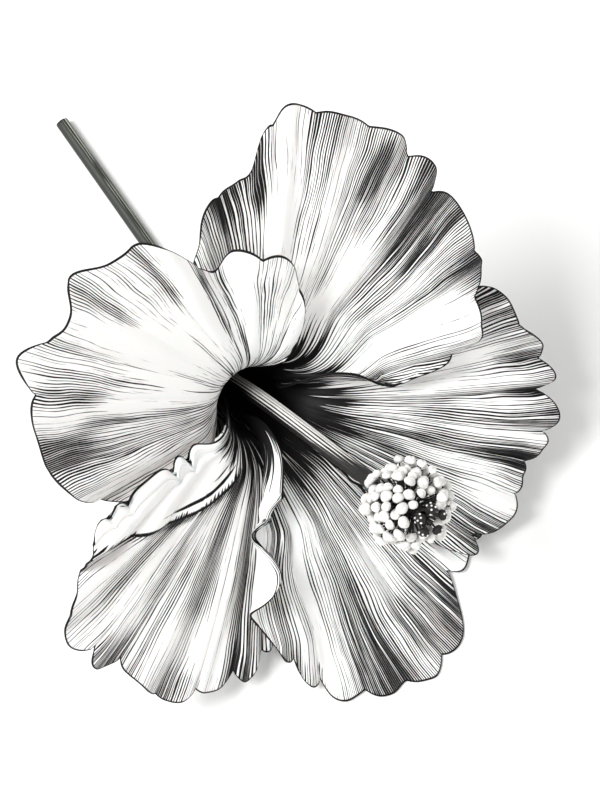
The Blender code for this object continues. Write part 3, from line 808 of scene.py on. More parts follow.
def vein_group():
    """A node group that draws one set of even lines along a piece. Across runs from 0 to 1 over the piece,
    Width is the piece's width there, Tone is how heavy the lines are, and Eye adds to them until they run
    together. A set whose lines come closer than Pitch isn't shown, but for the coarsest."""
    tree = bpy.data.node_groups.new("vein_lines", "ShaderNodeTree")
    for name in ("Across", "Along", "Width", "Tone", "Eye", "Count", "Shift", "Pitch"):
        tree.interface.new_socket(name, in_out="INPUT", socket_type="NodeSocketFloat")
    tree.interface.new_socket("Line", in_out="OUTPUT", socket_type="NodeSocketFloat")
    nodes = Nodes(tree)
    given = nodes.add("NodeGroupInput").outputs
    phase = nodes.math("MULTIPLY_ADD", given["Across"], given["Count"], given["Shift"])
    number = nodes.math("FLOOR", phase)
    spacing = nodes.math("DIVIDE", given["Width"], given["Count"])
    distance = nodes.math("MULTIPLY", nodes.off_middle(phase), spacing)

    # Each line has a lot of its own, and is broken along its length.
    seed = nodes.math("MULTIPLY_ADD", given["Count"], 3.7, nodes.math("MULTIPLY", number, 1.618))
    chance = nodes.add("ShaderNodeTexWhiteNoise", noise_dimensions="1D")
    nodes.put(chance.inputs["W"], seed)
    lot = nodes.math("SUBTRACT", chance.outputs["Value"], 0.5)
    run = nodes.combine(nodes.math("MULTIPLY", seed, 3.1), given["Along"])
    broken = nodes.math("SUBTRACT", nodes.noise(run, 9.0, 3.0, 0.6), 0.5)

    # How heavy the line is, before and with the eye.
    tone = nodes.math("MULTIPLY_ADD", lot, LINE_LOT, given["Tone"])
    tone = nodes.math("MINIMUM", nodes.math("MULTIPLY_ADD", broken, LINE_BREAK, tone), HEAVIEST_LINE)
    ragged = nodes.math("MULTIPLY_ADD", lot, 0.8, nodes.math("MULTIPLY_ADD", broken, 0.6, 1.0))
    tone = nodes.math("MAXIMUM", nodes.math("MULTIPLY_ADD", given["Eye"], ragged, tone), 0.0)

    # Whether there is room for it between the lines of the coarser sets.
    pitch = nodes.math("MULTIPLY_ADD", lot, 0.3, 0.5)
    room = nodes.math("DIVIDE", nodes.math("MULTIPLY", spacing, 0.5), given["Pitch"])
    shown = nodes.ramp(room, pitch, nodes.math("ADD", pitch, 0.25))
    coarsest = nodes.math("LESS_THAN", given["Count"], VEIN_SETS[0][0] + 0.5)
    shown = nodes.math("MAXIMUM", shown, coarsest)

    half = nodes.math("MULTIPLY", nodes.math("MULTIPLY", tone, given["Pitch"]), LINE_SHARE)
    half = nodes.math("MULTIPLY", half, shown)
    line = nodes.band(distance, half, LINE_SOFTNESS)
    faint = nodes.ramp(half, *FAINTEST_LINE)
    leaving = nodes.add("NodeGroupOutput")
    nodes.put(leaving.inputs["Line"], nodes.math("MULTIPLY", line, faint))
    return tree


def petal_material(settings):
    """White, with veins that branch into finer ones outwards and a dark line along the margin. The veins'
    weight also carries painted shade and painted highlights.
    """
    material, nodes, shader = new_material("petal_veined")
    place = nodes.add("ShaderNodeTexCoord")
    split = nodes.add("ShaderNodeSeparateXYZ")
    nodes.put(split.inputs[0], place.outputs["UV"])
    across, along = split.outputs[0], split.outputs[1]
    sway = nodes.noise(nodes.combine(nodes.math("MULTIPLY", across, 2.2), along), 3.0, 2.0)
    across = nodes.math("MULTIPLY_ADD", nodes.math("SUBTRACT", sway, 0.5), VEIN_SWAY, across)
    patch = nodes.math("MULTIPLY", across, 9.0)
    patch = nodes.combine(patch, nodes.math("MULTIPLY", along, 2.6), nodes.attribute("seed"))
    patch = nodes.math("SUBTRACT", nodes.noise(patch, 1.0, 2.0), 0.5)
    given = {
        "Across": across,
        "Along": along,
        "Width": nodes.attribute("width"),
        "Tone": nodes.math("MULTIPLY_ADD", patch, PATCH_TONE, nodes.attribute("tone")),
        "Eye": nodes.attribute("eye"),
        "Pitch": settings.vein_pitch,
    }
    group = vein_group()
    veins = None
    for count, shift in VEIN_SETS:
        lines = nodes.add("ShaderNodeGroup", node_tree=group)
        for name, value in {**given, "Count": count, "Shift": shift}.items():
            nodes.put(lines.inputs[name], value)
        veins = lines.outputs[0] if veins is None else nodes.math("MAXIMUM", veins, lines.outputs[0])
    rim = nodes.ramp(nodes.attribute("margin"), 0.7 * settings.rim_width, 1.3 * settings.rim_width, 1.0, 0.0)
    ink = nodes.math("MAXIMUM", veins, rim)
    mottle = nodes.noise(place.outputs["Object"], 260.0, 3.0)
    white = nodes.mix(mottle, (*[0.96 * c for c in settings.white], 1.0), (*settings.white, 1.0))
    nodes.put(shader.inputs["Base Color"], nodes.mix(ink, white, (*settings.ink, 1.0)))
    nodes.put(shader.inputs["Roughness"], nodes.math("MULTIPLY_ADD", mottle, 0.2, 0.42))
    grain = nodes.noise(place.outputs["Object"], 2600.0, 2.0)
    fine = nodes.bump(grain, 0.05 * MM, 0.35)
    nodes.put(shader.inputs["Normal"], nodes.bump(veins, 0.12 * MM, 0.6, fine))
    shader.inputs["Subsurface Weight"].default_value = 0.12
    shader.inputs["Subsurface Scale"].default_value = 1.0 * MM
    shader.inputs["Specular IOR Level"].default_value = 0.16
    return material


def lined_material(name, light, dark, lines, heavy, roughness, painted_shade=None, core=None):
    """A round piece with fine lines along it, heavier where its shade attribute is, as painted shade. Its
    rest attribute holds its points while it was straight and upright. The two heights between which the
    lines grow heavier paint shade below the ball of anthers, and a core is the colour and the radius of what
    a cut across the piece shows."""
    material, nodes, shader = new_material(name)
    rest = nodes.add("ShaderNodeAttribute", attribute_name="rest").outputs["Vector"]
    split = nodes.add("ShaderNodeSeparateXYZ")
    nodes.put(split.inputs[0], rest)
    x, y, rise = split.outputs
    turn = nodes.math("DIVIDE", nodes.math("ARCTAN2", y, x), 2.0 * math.pi)
    sway = nodes.noise(nodes.combine(turn, rise), 60.0, 2.0)
    phase = nodes.math("MULTIPLY_ADD", turn, float(lines), nodes.math("MULTIPLY", sway, 0.5))
    number = nodes.math("MULTIPLY", nodes.math("FLOOR", phase), 3.1)
    broken = nodes.noise(nodes.combine(number, nodes.math("MULTIPLY", rise, 40.0)), 2.0, 3.0)
    # Painted shade: the lines are heavier where the shade attribute is.
    weight = nodes.math("MULTIPLY", nodes.attribute("shade"), heavy)
    weight = nodes.math("ADD", weight, nodes.math("MULTIPLY_ADD", broken, 0.5, -0.14))
    # Painted shade below the ball of anthers: the lines grow heavier between two heights.
    if painted_shade is not None:
        weight = nodes.math("ADD", weight, nodes.ramp(rise, *painted_shade, 0.0, 0.5))
    line = nodes.band(nodes.off_middle(phase), weight, 0.06)
    ink = nodes.math("MULTIPLY", line, nodes.ramp(weight, 0.02, 0.08))
    mottle = nodes.noise(nodes.add("ShaderNodeTexCoord").outputs["Object"], 500.0, 3.0)
    pale = nodes.mix(mottle, (*[0.85 * c for c in light], 1.0), (*light, 1.0))
    colour = nodes.mix(ink, pale, (*dark, 1.0))
    if core is not None:
        core_colour, core_radius = core
        square = nodes.math("MULTIPLY_ADD", x, x, nodes.math("MULTIPLY", y, y))
        outside = nodes.ramp(square, (0.8 * core_radius) ** 2, (1.2 * core_radius) ** 2)
        colour = nodes.mix(outside, (*core_colour, 1.0), colour)
    nodes.put(shader.inputs["Base Color"], colour)
    nodes.put(shader.inputs["Roughness"], nodes.math("MULTIPLY_ADD", mottle, 0.2, roughness - 0.1))
    nodes.put(shader.inputs["Normal"], nodes.bump(ink, 0.08 * MM, 0.6))
    return material


def grained_material(name, colour, roughness, grain, depth):
    """An even colour with a fine grain, tinted a little from one grain to the next."""
    material, nodes, shader = new_material(name)
    place = nodes.add("ShaderNodeTexCoord").outputs["Object"]
    coarse = nodes.noise(place, grain / 4, 3.0)
    fine = nodes.noise(place, grain, 3.0)
    pale = (*colour, 1.0)
    deep = (*[0.72 * c for c in colour], 1.0)
    nodes.put(shader.inputs["Base Color"], nodes.mix(nodes.ramp(coarse, 0.35, 0.65), deep, pale))
    nodes.put(shader.inputs["Roughness"], nodes.math("MULTIPLY_ADD", fine, 0.25, roughness - 0.1))
    nodes.put(shader.inputs["Normal"], nodes.bump(fine, depth, 0.7))
    return material


def select_only(obj):
    """Selects one object and makes it the active one."""
    bpy.ops.object.select_all(action="DESELECT")
    obj.select_set(True)
    bpy.context.view_layer.objects.active = obj


def vertex_array(obj):
    """The vertices' places, one row each."""
    points = np.empty(len(obj.data.vertices) * 3)
    obj.data.vertices.foreach_get("co", points)
    return points.reshape(-1, 3)


def place_vertices(obj, points):
    """Moves the vertices to the rows of points."""
    obj.data.vertices.foreach_set("co", np.ascontiguousarray(points).ravel())
    obj.data.update()


def keep_attribute(obj, name, values):
    """Stores one number or one vector for each vertex."""
    kind = "FLOAT" if values.ndim == 1 else "FLOAT_VECTOR"
    attribute = obj.data.attributes.new(name, kind, "POINT")
    attribute.data.foreach_set("value" if kind == "FLOAT" else "vector", values.astype(np.float32).ravel())


def grid_piece(name, steps_across, steps_along):
    """A flat grid from (0, 0) to (1, 1), with a UV map that reads the same."""
    bpy.ops.object.select_all(action="DESELECT")
    bpy.ops.mesh.primitive_grid_add(
        x_subdivisions=steps_across, y_subdivisions=steps_along, size=1.0, location=(0.5, 0.5, 0.0)
    )
    obj = bpy.context.active_object
    obj.name = obj.data.name = name
    bpy.ops.object.transform_apply(location=True, rotation=False, scale=False)
    return obj


def apply_modifier(obj, kind, **settings):
    """Adds a modifier with its settings and applies it."""
    select_only(obj)
    modifier = obj.modifiers.new(kind.title(), kind)
    for name, value in settings.items():
        setattr(modifier, name, value)
    bpy.ops.object.modifier_apply(modifier=modifier.name)


def merge_and_face_out(obj):
    """Closes seams and poles, and turns all faces outwards."""
    select_only(obj)
    bpy.ops.object.mode_set(mode="EDIT")
    bpy.ops.mesh.select_all(action="SELECT")
    bpy.ops.mesh.remove_doubles(threshold=0.002 * MM)
    bpy.ops.mesh.normals_make_consistent(inside=False)
    bpy.ops.object.mode_set(mode="OBJECT")


def join_pieces(name, parts):
    """Joins parts into one object."""
    bpy.ops.object.select_all(action="DESELECT")
    for part in parts:
        part.select_set(True)
    bpy.context.view_layer.objects.active = parts[0]
    bpy.ops.object.join()
    joined = bpy.context.active_object
    joined.name = joined.data.name = name
    return joined


def finish_piece(obj, material, slot, *nodes):
    """Gives a piece its material, puts it on the flower and lets it stand for its construction nodes."""
    obj.data.materials.clear()
    obj.data.materials.append(material)
    select_only(obj)
    bpy.ops.object.shade_smooth()
    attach(obj, BODY)
    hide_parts(*nodes)


def curve_piece(name, lines, sides):
    """Round tubes along lines of (point, radius), as one mesh."""
    curve = bpy.data.curves.new(name, "CURVE")
    curve.dimensions = "3D"
    curve.bevel_depth = 1.0
    curve.bevel_resolution = sides
    curve.use_fill_caps = True
    for line in lines:
        spline = curve.splines.new("POLY")
        spline.points.add(len(line) - 1)
        for spline_point, (point, radius) in zip(spline.points, line):
            spline_point.co = (*point, 1.0)
            spline_point.radius = radius
    obj = bpy.data.objects.new(name, curve)
    bpy.context.scene.collection.objects.link(obj)
    select_only(obj)
    bpy.ops.object.convert(target="MESH")
    return obj


def column_course():
    """The column's middle line: distance, rise, how far it leans over, and its turn from upright."""
    step = 0.25 * MM
    distance = np.arange(0.0, LONGEST_PETAL, step)
    turn = np.radians(
        COLUMN_LEAN * smooth_rise(distance, LEAN_START, LEAN_END)
        - COLUMN_RETURN * smooth_rise(distance, RETURN_START, RETURN_END)
    )
    rise = (np.cumsum(np.cos(turn)) - 1.0) * step
    lean = np.cumsum(np.sin(turn)) * step
    return distance, rise, lean, turn


def bend_over(points):
    """Bends straight upright points so that they follow the column's line."""
    azimuth = math.radians(COLUMN_LEAN_AZIMUTH)
    sideways = np.array((math.cos(azimuth), math.sin(azimuth), 0.0))
    across = np.array((-math.sin(azimuth), math.cos(azimuth), 0.0))
    upwards = np.array((0.0, 0.0, 1.0))
    distance, rise, lean, turn = column_course()
    height = points[:, 2]
    rise, lean = np.interp(height, distance, rise)[:, None], np.interp(height, distance, lean)[:, None]
    turn = np.interp(height, distance, turn)[:, None]
    arm = (points @ sideways)[:, None] * (sideways * np.cos(turn) - upwards * np.sin(turn))
    return upwards * rise + sideways * lean + arm + (points @ across)[:, None] * across


def spun_piece(name, profile, steps):
    """A closed profile of (radius, height) points, spun round the Z axis."""
    mesh = bpy.data.meshes.new(name)
    points = [(radius, 0.0, height) for radius, height in profile]
    mesh.from_pydata(points, [(i, i + 1) for i in range(len(points) - 1)], [])
    obj = bpy.data.objects.new(name, mesh)
    bpy.context.scene.collection.objects.link(obj)
    select_only(obj)
    bpy.ops.object.mode_set(mode="EDIT")
    bpy.ops.mesh.select_all(action="SELECT")
    bpy.ops.mesh.spin(steps=steps, angle=2.0 * math.pi, center=(0.0, 0.0, 0.0), axis=(0.0, 0.0, 1.0))
    bpy.ops.object.mode_set(mode="OBJECT")
    merge_and_face_out(obj)
    return obj


def shade_from(points, towards):
    """Painted shade on a straight round piece: 0 on the side that faces towards the light, and 1 on the far
    side.
    """
    side = points[:, :2] / np.maximum(np.linalg.norm(points[:, :2], axis=1, keepdims=True), 1e-9)
    return 0.5 - 0.5 * (side @ np.array(towards))


class HIBISCUS_OT_petals(bpy.types.Operator):
    """Add the five veined petals"""

    bl_idname = "hibiscus.petals"
    bl_label = "Petals"

    def execute(self, context):
        settings = context.scene.hibiscus_petals
        material = petal_material(settings)
        for name, petal in PETALS.items():
            obj = grid_piece(name + "_blade", settings.steps_across, settings.steps_along)
            flat = vertex_array(obj)
            sheet = PetalSheet(petal, 1.0 - flat[:, 0], flat[:, 1], settings)
            place_vertices(obj, bend_along_table(lay_down(sheet.points()), settings.thickness))
            keep_attribute(obj, "tone", sheet.tone())
            keep_attribute(obj, "eye", sheet.eye())
            keep_attribute(obj, "width", sheet.width)
            keep_attribute(obj, "seed", np.full(len(flat), petal["phase"]))
            keep_attribute(obj, "margin", sheet.margin())
            apply_modifier(obj, "SOLIDIFY", thickness=settings.thickness, offset=0.0)
            finish_piece(obj, material, "petal", name)
        return {"FINISHED"}


def column_profile(settings):
    """Up the outside of the column and down its bore."""
    heights = np.concatenate((np.linspace(0.0, 12.0 * MM, 24), np.linspace(13.0 * MM, COLUMN_LENGTH, 90)))
    foot = smooth_rise(heights, 0.0, FOOT_HEIGHT)
    radius = settings.foot_radius + (settings.radius - settings.foot_radius) * foot
    radius = radius * (1.0 - 0.2 * smooth_rise(heights, COLUMN_LENGTH - 3.0 * MM, COLUMN_LENGTH))
    outside = list(zip(radius, heights))
    bore = 0.5 * settings.radius
    inside = [(bore, height) for height in np.linspace(COLUMN_LENGTH, 1.5 * BORE_FOOT_HEIGHT, 60)]
    inside += [(BORE_FOOT_RADIUS, BORE_FOOT_HEIGHT), (BORE_FOOT_RADIUS, 0.0)]
    return outside + inside + outside[:1]


class HIBISCUS_OT_column(bpy.types.Operator):
    """Add the column that carries the stamens"""

    bl_idname = "hibiscus.column"
    bl_label = "Column"

    def execute(self, context):
        settings = context.scene.hibiscus_column
        obj = spun_piece("column_tube", column_profile(settings), 60)
        straight = vertex_array(obj)
        turn = np.arctan2(straight[:, 1], straight[:, 0])
        grown = smooth_rise(straight[:, 2], BORE_FOOT_HEIGHT, LEAN_START)
        ribs = 1.0 + RIB_DEPTH * np.cos(RIB_COUNT * turn) * grown
        outer = np.linalg.norm(straight[:, :2], axis=1) > 0.7 * settings.radius
        straight[:, :2] *= np.where(outer, ribs, 1.0)[:, None]
        keep_attribute(obj, "rest", straight)
        keep_attribute(obj, "shade", shade_from(straight, LIT_SIDE))
        place_vertices(obj, lay_down(bend_over(straight)))
        material = lined_material(
            "column_lined", settings.ivory, settings.dark, 16, 0.9, 0.45, painted_shade=COLUMN_SHADE_BELOW_BALL
        )
        finish_piece(obj, material, "column", "staminal_column")
        return {"FINISHED"}


def anther_aims(count):
    """Numbered directions, even over the ball of anthers."""
    highest, lowest = math.cos(BALL_OPENING), math.cos(BALL_FOOT)
    for number in range(count):
        rise = highest + (lowest - highest) * (number + 0.5) / count
        turn = GOLDEN_TURN * number
        flat = math.sqrt(1.0 - rise * rise)
        yield number, Vector((flat * math.cos(turn), flat * math.sin(turn), rise))


def stamen_ends(settings):
    """Each stamen's number, the ends of its filament and its direction, on the straight column."""
    centre = Vector((0.0, 0.0, ANTHER_ZONE_START + ANTHER_ZONE / 2))
    for number, aim in anther_aims(settings.anthers):
        reach = settings.ball_radius * (1.0 - 0.09 * (number % 3) + 0.03 * math.sin(7.0 * number))
        flat = Vector((aim.x, aim.y, 0.0)).normalized()
        root_height = ANTHER_ZONE_START + ANTHER_ZONE * (0.5 + 0.45 * aim.z)
        root = flat * settings.radius * 0.9 + Vector((0.0, 0.0, root_height))
        yield number, root, centre + aim * reach, aim


def anther_shape(settings):
    """One anther: a bean with a groove along its back, lying across its filament's end."""
    bpy.ops.object.select_all(action="DESELECT")
    bpy.ops.mesh.primitive_uv_sphere_add(segments=16, ring_count=10, radius=1.0)
    obj = bpy.context.active_object
    points = vertex_array(obj)
    x, y, z = points.T
    groove = 1.0 - 0.22 * np.exp(-((y / 0.22) ** 2)) * np.clip(z + 0.3, 0.0, 1.0)
    size = settings.anther_length / 2
    bean = np.stack((x * size, y * 0.86 * size, (z * 0.7 * groove - 0.3 * x * x) * size), -1)
    place_vertices(obj, bean)
    return obj


class HIBISCUS_OT_stamens(bpy.types.Operator):
    """Add the filaments and the anthers"""

    bl_idname = "hibiscus.stamens"
    bl_label = "Stamens"

    def execute(self, context):
        settings = context.scene.hibiscus_column
        pattern = anther_shape(settings)
        bean = vertex_array(pattern)
        lines, copies = [], []
        for number, root, end, aim in stamen_ends(settings):
            elbow = root.lerp(end, 0.45) + Vector((0.0, 0.0, -0.35 * MM if number % 2 else 0.35 * MM))
            path = np.array([root, root.lerp(elbow, 0.5), elbow, elbow.lerp(end, 0.55), end])
            path = lay_down(bend_over(path))
            lines.append([(Vector(point), settings.filament_radius) for point in path])
            turn = aim.to_track_quat("Z", "Y").to_matrix() @ Matrix.Rotation(2.399 * number, 3, "Z")
            turn = turn @ Matrix.Rotation(0.35 * math.sin(3.0 * number), 3, "X")
            size = 0.88 + 0.12 * math.sin(5.0 * number)
            copy = pattern.copy()
            copy.data = pattern.data.copy()
            bpy.context.scene.collection.objects.link(copy)
            laid = bean @ np.array(turn).T * size + np.array(end + aim * 0.3 * MM)
            place_vertices(copy, lay_down(bend_over(laid)))
            copies.append(copy)
        bpy.data.objects.remove(pattern)
        anthers = join_pieces("anthers", copies)
        white = grained_material("anther_white", settings.anther_white, 0.6, 3000.0, 0.06 * MM)
        finish_piece(anthers, white, "column", "staminal_column")
        filaments = curve_piece("filaments", lines, 1)
        merge_and_face_out(filaments)
        dark = grained_material("filament_dark", settings.dark, 0.5, 1500.0, 0.03 * MM)
        finish_piece(filaments, dark, "column", "staminal_column")
        return {"FINISHED"}


def pistil_paths():
    """The style and its branches, straight and upright, and each stigma's place and direction."""
    end = COLUMN_LENGTH + STYLE_PAST_COLUMN
    style = [(Vector((0.0, 0.0, height)), STYLE_RADIUS) for height in np.linspace(STYLE_START, end, 41)]
    branches, stigmas = [], []
    for number in range(BRANCH_COUNT):
        turn = 2.0 * math.pi * (number + 0.3) / BRANCH_COUNT
        path = []
        for t in np.linspace(0.0, 1.0, 9):
            reach = BRANCH_START + BRANCH_REACH * t**1.2
            height = end - 0.3 * MM + BRANCH_RISE * t**0.8
            point = Vector((reach * math.cos(turn), reach * math.sin(turn), height))
            path.append((point, BRANCH_RADIUS - BRANCH_TAPER * t))
        branches.append(path)
        stigmas.append((path[-1][0], (path[-1][0] - path[-3][0]).normalized()))
    return style, branches, stigmas


def ovary_profile():
    """The ovary's outline from its foot to its pointed top, as (radius, height)."""
    rounded = []
    for t in np.linspace(-0.4, 1.5, 14):
        rounded.append((OVARY_RADIUS * math.cos(t), 6.3 * MM * (0.3 + 0.7 * math.sin(t))))
    return [(0.0, 0.0), *rounded, (0.0, OVARY_TOP)]


def bend_line(line):
    """A line of (point, radius) on the straight column, bent over and laid down with it."""
    laid = lay_down(bend_over(np.array([point for point, _ in line])))
    return [(Vector(point), radius) for point, (_, radius) in zip(laid, line)]


def pistil_ball(turn, place, size, segments, rings):
    """A ball of a size in millimetres, turned and placed on the straight pistil, then bent over."""
    bpy.ops.object.select_all(action="DESELECT")
    bpy.ops.mesh.primitive_uv_sphere_add(segments=segments, ring_count=rings, radius=MM)
    obj = bpy.context.active_object
    points = vertex_array(obj) * np.array(size) @ turn.T + np.array(place)
    place_vertices(obj, lay_down(bend_over(points)))
    return obj


def stigma_balls(stigmas):
    """The stigmas' pads, and the pale grains on them: pollen grains that also stand for glints, as painted
    highlights.
    """
    pads, pollen_glints = [], []
    for branch_end, aim in stigmas:
        turn = np.array(aim.to_track_quat("Z", "Y").to_matrix())
        middle = branch_end + aim * STIGMA_PAST_BRANCH
        pads.append(pistil_ball(turn, middle, STIGMA_SIZE, 20, 12))
        for number in range(POLLEN_GLINTS_PER_STIGMA):
            rise = 1.0 - 0.75 * (number + 0.3) / POLLEN_GLINTS_PER_STIGMA
            flat = math.sqrt(1.0 - rise * rise)
            around = POLLEN_GLINT_TURN * number
            spot = np.array((flat * math.cos(around), flat * math.sin(around), rise)) * POLLEN_GLINT_PLACE * MM
            pollen_glints.append(pistil_ball(turn, Vector(turn @ spot) + middle, POLLEN_GLINT_SIZE, 8, 6))
    return pads, pollen_glints


class HIBISCUS_OT_pistil(bpy.types.Operator):
    """Add the ovary, the style, its branches and the stigmas"""

    bl_idname = "hibiscus.pistil"
    bl_label = "Pistil"

    def execute(self, context):
        settings = context.scene.hibiscus_column
        style, branches, stigmas = pistil_paths()
        tubes = curve_piece("style_and_branches", [bend_line(line) for line in [style, *branches]], 2)
        merge_and_face_out(tubes)
        dark = grained_material("style_dark", settings.dark, 0.45, 1500.0, 0.03 * MM)
        finish_piece(tubes, dark, "stigma", "pistil")
        ovary = spun_piece("ovary", ovary_profile(), 32)
        place_vertices(ovary, lay_down(bend_over(vertex_array(ovary))))
        pale = grained_material("ovary_pale", settings.ivory, 0.5, 1500.0, 0.03 * MM)
        finish_piece(ovary, pale, "stigma", "pistil")
        pads, pollen_glints = stigma_balls(stigmas)
        # The white grains are pollen grains that also stand for glints on the stigmas, as painted
        # highlights.
        for name, balls, colour in (
            ("stigmas", pads, settings.dark),
            ("stigma_pollen_glints", pollen_glints, settings.anther_white),
        ):
            material = grained_material(name + "_grain", colour, 0.7, 4000.0, 0.08 * MM)
            finish_piece(join_pieces(name, balls), material, "stigma", "pistil")
        return {"FINISHED"}


def calyx_sheet(around, up):
    """The calyx's middle sheet, once around and up from the foot to the tips of its lobes."""
    to_tip = np.abs(((around * PETAL_COUNT) % 1.0) - 0.5) * 2.0
    top = CALYX_NOTCH_HEIGHT + CALYX_LOBE_HEIGHT * to_tip**0.9
    height = CALYX_FOOT + (top - CALYX_FOOT) * up
    funnel = np.interp(height, FUNNEL[2], FUNNEL[1]) + CALYX_OFF_FUNNEL
    opened = smooth_rise(height, CALYX_FOOT, CALYX_FOOT_END)
    radius = CALYX_FOOT_RADIUS + (funnel - CALYX_FOOT_RADIUS) * opened
    radius = radius + CALYX_FLARE * smooth_rise(height, CALYX_NOTCH_HEIGHT, CALYX_TOP)
    radius = radius + CALYX_SEAM_HEIGHT * to_tip**6 * smooth_rise(up, 0.05, 0.5)
    ribs = np.cos(2.0 * math.pi * CALYX_RIB_COUNT * around)
    radius = radius + CALYX_RIB_HEIGHT * ribs * smooth_rise(up, 0.1, 0.5)
    angle = 2.0 * math.pi * around
    return np.stack((radius * np.cos(angle), radius * np.sin(angle), height), -1)


class HIBISCUS_OT_calyx(bpy.types.Operator):
    """Add the calyx"""

    bl_idname = "hibiscus.calyx"
    bl_label = "Calyx"

    def execute(self, context):
        settings = context.scene.hibiscus_green
        obj = grid_piece("calyx_cup", 240, 36)
        flat = vertex_array(obj)
        points = calyx_sheet(flat[:, 0], flat[:, 1])
        keep_attribute(obj, "rest", points)
        keep_attribute(obj, "shade", 0.35 + 0.35 * shade_from(points, LIT_SIDE) + 0.2 * flat[:, 1])
        place_vertices(obj, lay_down(points))
        merge_and_face_out(obj)
        apply_modifier(obj, "SOLIDIFY", thickness=CALYX_THICKNESS, offset=0.0)
        material = lined_material("calyx_ribbed", settings.light, settings.dark, 60, 0.42, 0.6)
        finish_piece(obj, material, "calyx", "calyx")
        return {"FINISHED"}


def bracteole_sheet(across, along, number):
    """A narrow leaf, channelled along its middle, that leaves the receptacle along +X and curves up."""
    run = along * BRACTEOLE_LENGTH
    side = 0.5 - across
    width = BRACTEOLE_WIDTH * np.sin(math.pi * (0.16 + 0.8 * along)) ** 0.7
    outward = BRACTEOLE_ROOT_RADIUS + run * (0.85 - 0.25 * along)
    height = BRACTEOLE_ROOT_HEIGHT + run * 0.6 * along + BRACTEOLE_CHANNEL * (2.0 * side) ** 2 * along
    sway = BRACTEOLE_SWAY * math.sin(2.0 * number) * along**2
    return np.stack((outward, side * width + sway, height), -1)


class HIBISCUS_OT_bracteoles(bpy.types.Operator):
    """Add the narrow bracteoles below the calyx"""

    bl_idname = "hibiscus.bracteoles"
    bl_label = "Bracteoles"

    def execute(self, context):
        settings = context.scene.hibiscus_green
        material = lined_material("bracteole_ribbed", settings.light, settings.dark, 180, 0.5, 0.6)
        for number in range(BRACTEOLE_COUNT):
            obj = grid_piece(f"bracteole_{number + 1}_leaf", 10, 40)
            flat = vertex_array(obj)
            points = bracteole_sheet(1.0 - flat[:, 0], flat[:, 1], number)
            turn = Matrix.Rotation(2.0 * math.pi * (number + 0.3) / BRACTEOLE_COUNT, 3, "Z")
            points = points @ np.array(turn).T
            keep_attribute(obj, "rest", points)
            keep_attribute(obj, "shade", 0.45 + 0.3 * np.abs(2.0 * flat[:, 0] - 1.0))
            place_vertices(obj, lay_down(points))
            apply_modifier(obj, "SOLIDIFY", thickness=BRACTEOLE_THICKNESS, offset=0.0)
            apply_modifier(obj, "SUBSURF", levels=1, render_levels=1)
            finish_piece(obj, material, "calyx", f"bracteole_{number + 1}")
        return {"FINISHED"}


def bezier(start, start_arm, end_arm, end, t):
    """The point at t of a curve from start to end."""
    s = 1.0 - t
    return start * s**3 + start_arm * 3 * s * s * t + end_arm * 3 * s * t * t + end * t**3


def stem_line(settings):
    """The stem's middle from the receptacle to the cut end, with the radius at each point."""
    place = flower_place()
    down = (place.to_3x3() @ Vector((0.0, 0.0, -1.0))).normalized()
    top = place @ Vector((0.0, 0.0, RECEPTACLE_TOP))
    depths = np.concatenate((np.linspace(0.0, 0.4, 5), np.linspace(0.7, RECEPTACLE_NECK[-1][0], 14)))
    rounded = 1.0 - 0.06 * (1.0 - np.clip(depths / 0.4, 0.0, 1.0)) ** 2
    radii = np.interp(depths, *np.array(RECEPTACLE_NECK).T) * rounded
    line = [(top + down * depth * MM, radius * MM) for depth, radius in zip(depths, radii)]
    neck_end = line[-1][0]
    foot = Vector((place.translation.x, place.translation.y, 0.0))
    touchdown, cut = foot + STEM_TOUCHDOWN, foot + STEM_CUT
    lying = (cut - touchdown).normalized()
    reach = (touchdown - neck_end).length
    neck_arm = neck_end + down * reach * STEM_NECK_ARM
    lying_arm = touchdown - lying * reach * STEM_LYING_ARM
    shares = [step / STEM_STEPS for step in range(1, STEM_STEPS + 1)]
    points = [bezier(neck_end, neck_arm, lying_arm, touchdown, share) for share in shares]
    points += [touchdown.lerp(cut, share) for share in shares]
    travelled, before = 0.0, neck_end
    for point in points:
        travelled += (point - before).length
        neck = STEM_NECK_SWELL * (1.0 - smooth_rise(travelled, 0.0, STEM_NECK_LENGTH))
        knot = STEM_KNOT_SWELL * bell(travelled - STEM_KNOT_PLACE, STEM_KNOT_SPREAD)
        line.append((point, settings.stem_radius + neck + knot))
        before = point
    return line


class HIBISCUS_OT_stem(bpy.types.Operator):
    """Add the receptacle and the stem with its cut end"""

    bl_idname = "hibiscus.stem"
    bl_label = "Stem"

    def execute(self, context):
        settings = context.scene.hibiscus_green
        line = stem_line(settings)
        obj = curve_piece("stem", [line], 6)
        merge_and_face_out(obj)
        points = vertex_array(obj)
        middle = np.array([point for point, _ in line])
        nearest = np.linalg.norm(points[:, None, :] - middle[None, :, :], axis=2).argmin(axis=1)
        forward = np.gradient(middle, axis=0)[nearest]
        forward /= np.linalg.norm(forward, axis=1, keepdims=True)
        left = np.cross(np.array((0.0, 0.0, 1.0)), forward)
        left /= np.maximum(np.linalg.norm(left, axis=1, keepdims=True), 1e-9)
        above = np.cross(forward, left)
        arm = points - middle[nearest]
        x, y = (arm * left).sum(1), (arm * above).sum(1)
        travelled = np.concatenate(((0.0,), np.cumsum(np.linalg.norm(np.diff(middle, axis=0), axis=1))))
        rest = np.stack((x, y, travelled[nearest]), -1)
        keep_attribute(obj, "rest", rest)
        keep_attribute(obj, "shade", 0.25 + 0.75 * shade_from(rest, STEM_LIT_SIDE))
        core = (settings.pith, 0.5 * settings.stem_radius)
        material = lined_material("stem_lined", settings.light, settings.dark, 14, 1.0, 0.55, core=core)
        finish_piece(obj, material, "pedicel", "pedicel")
        return {"FINISHED"}


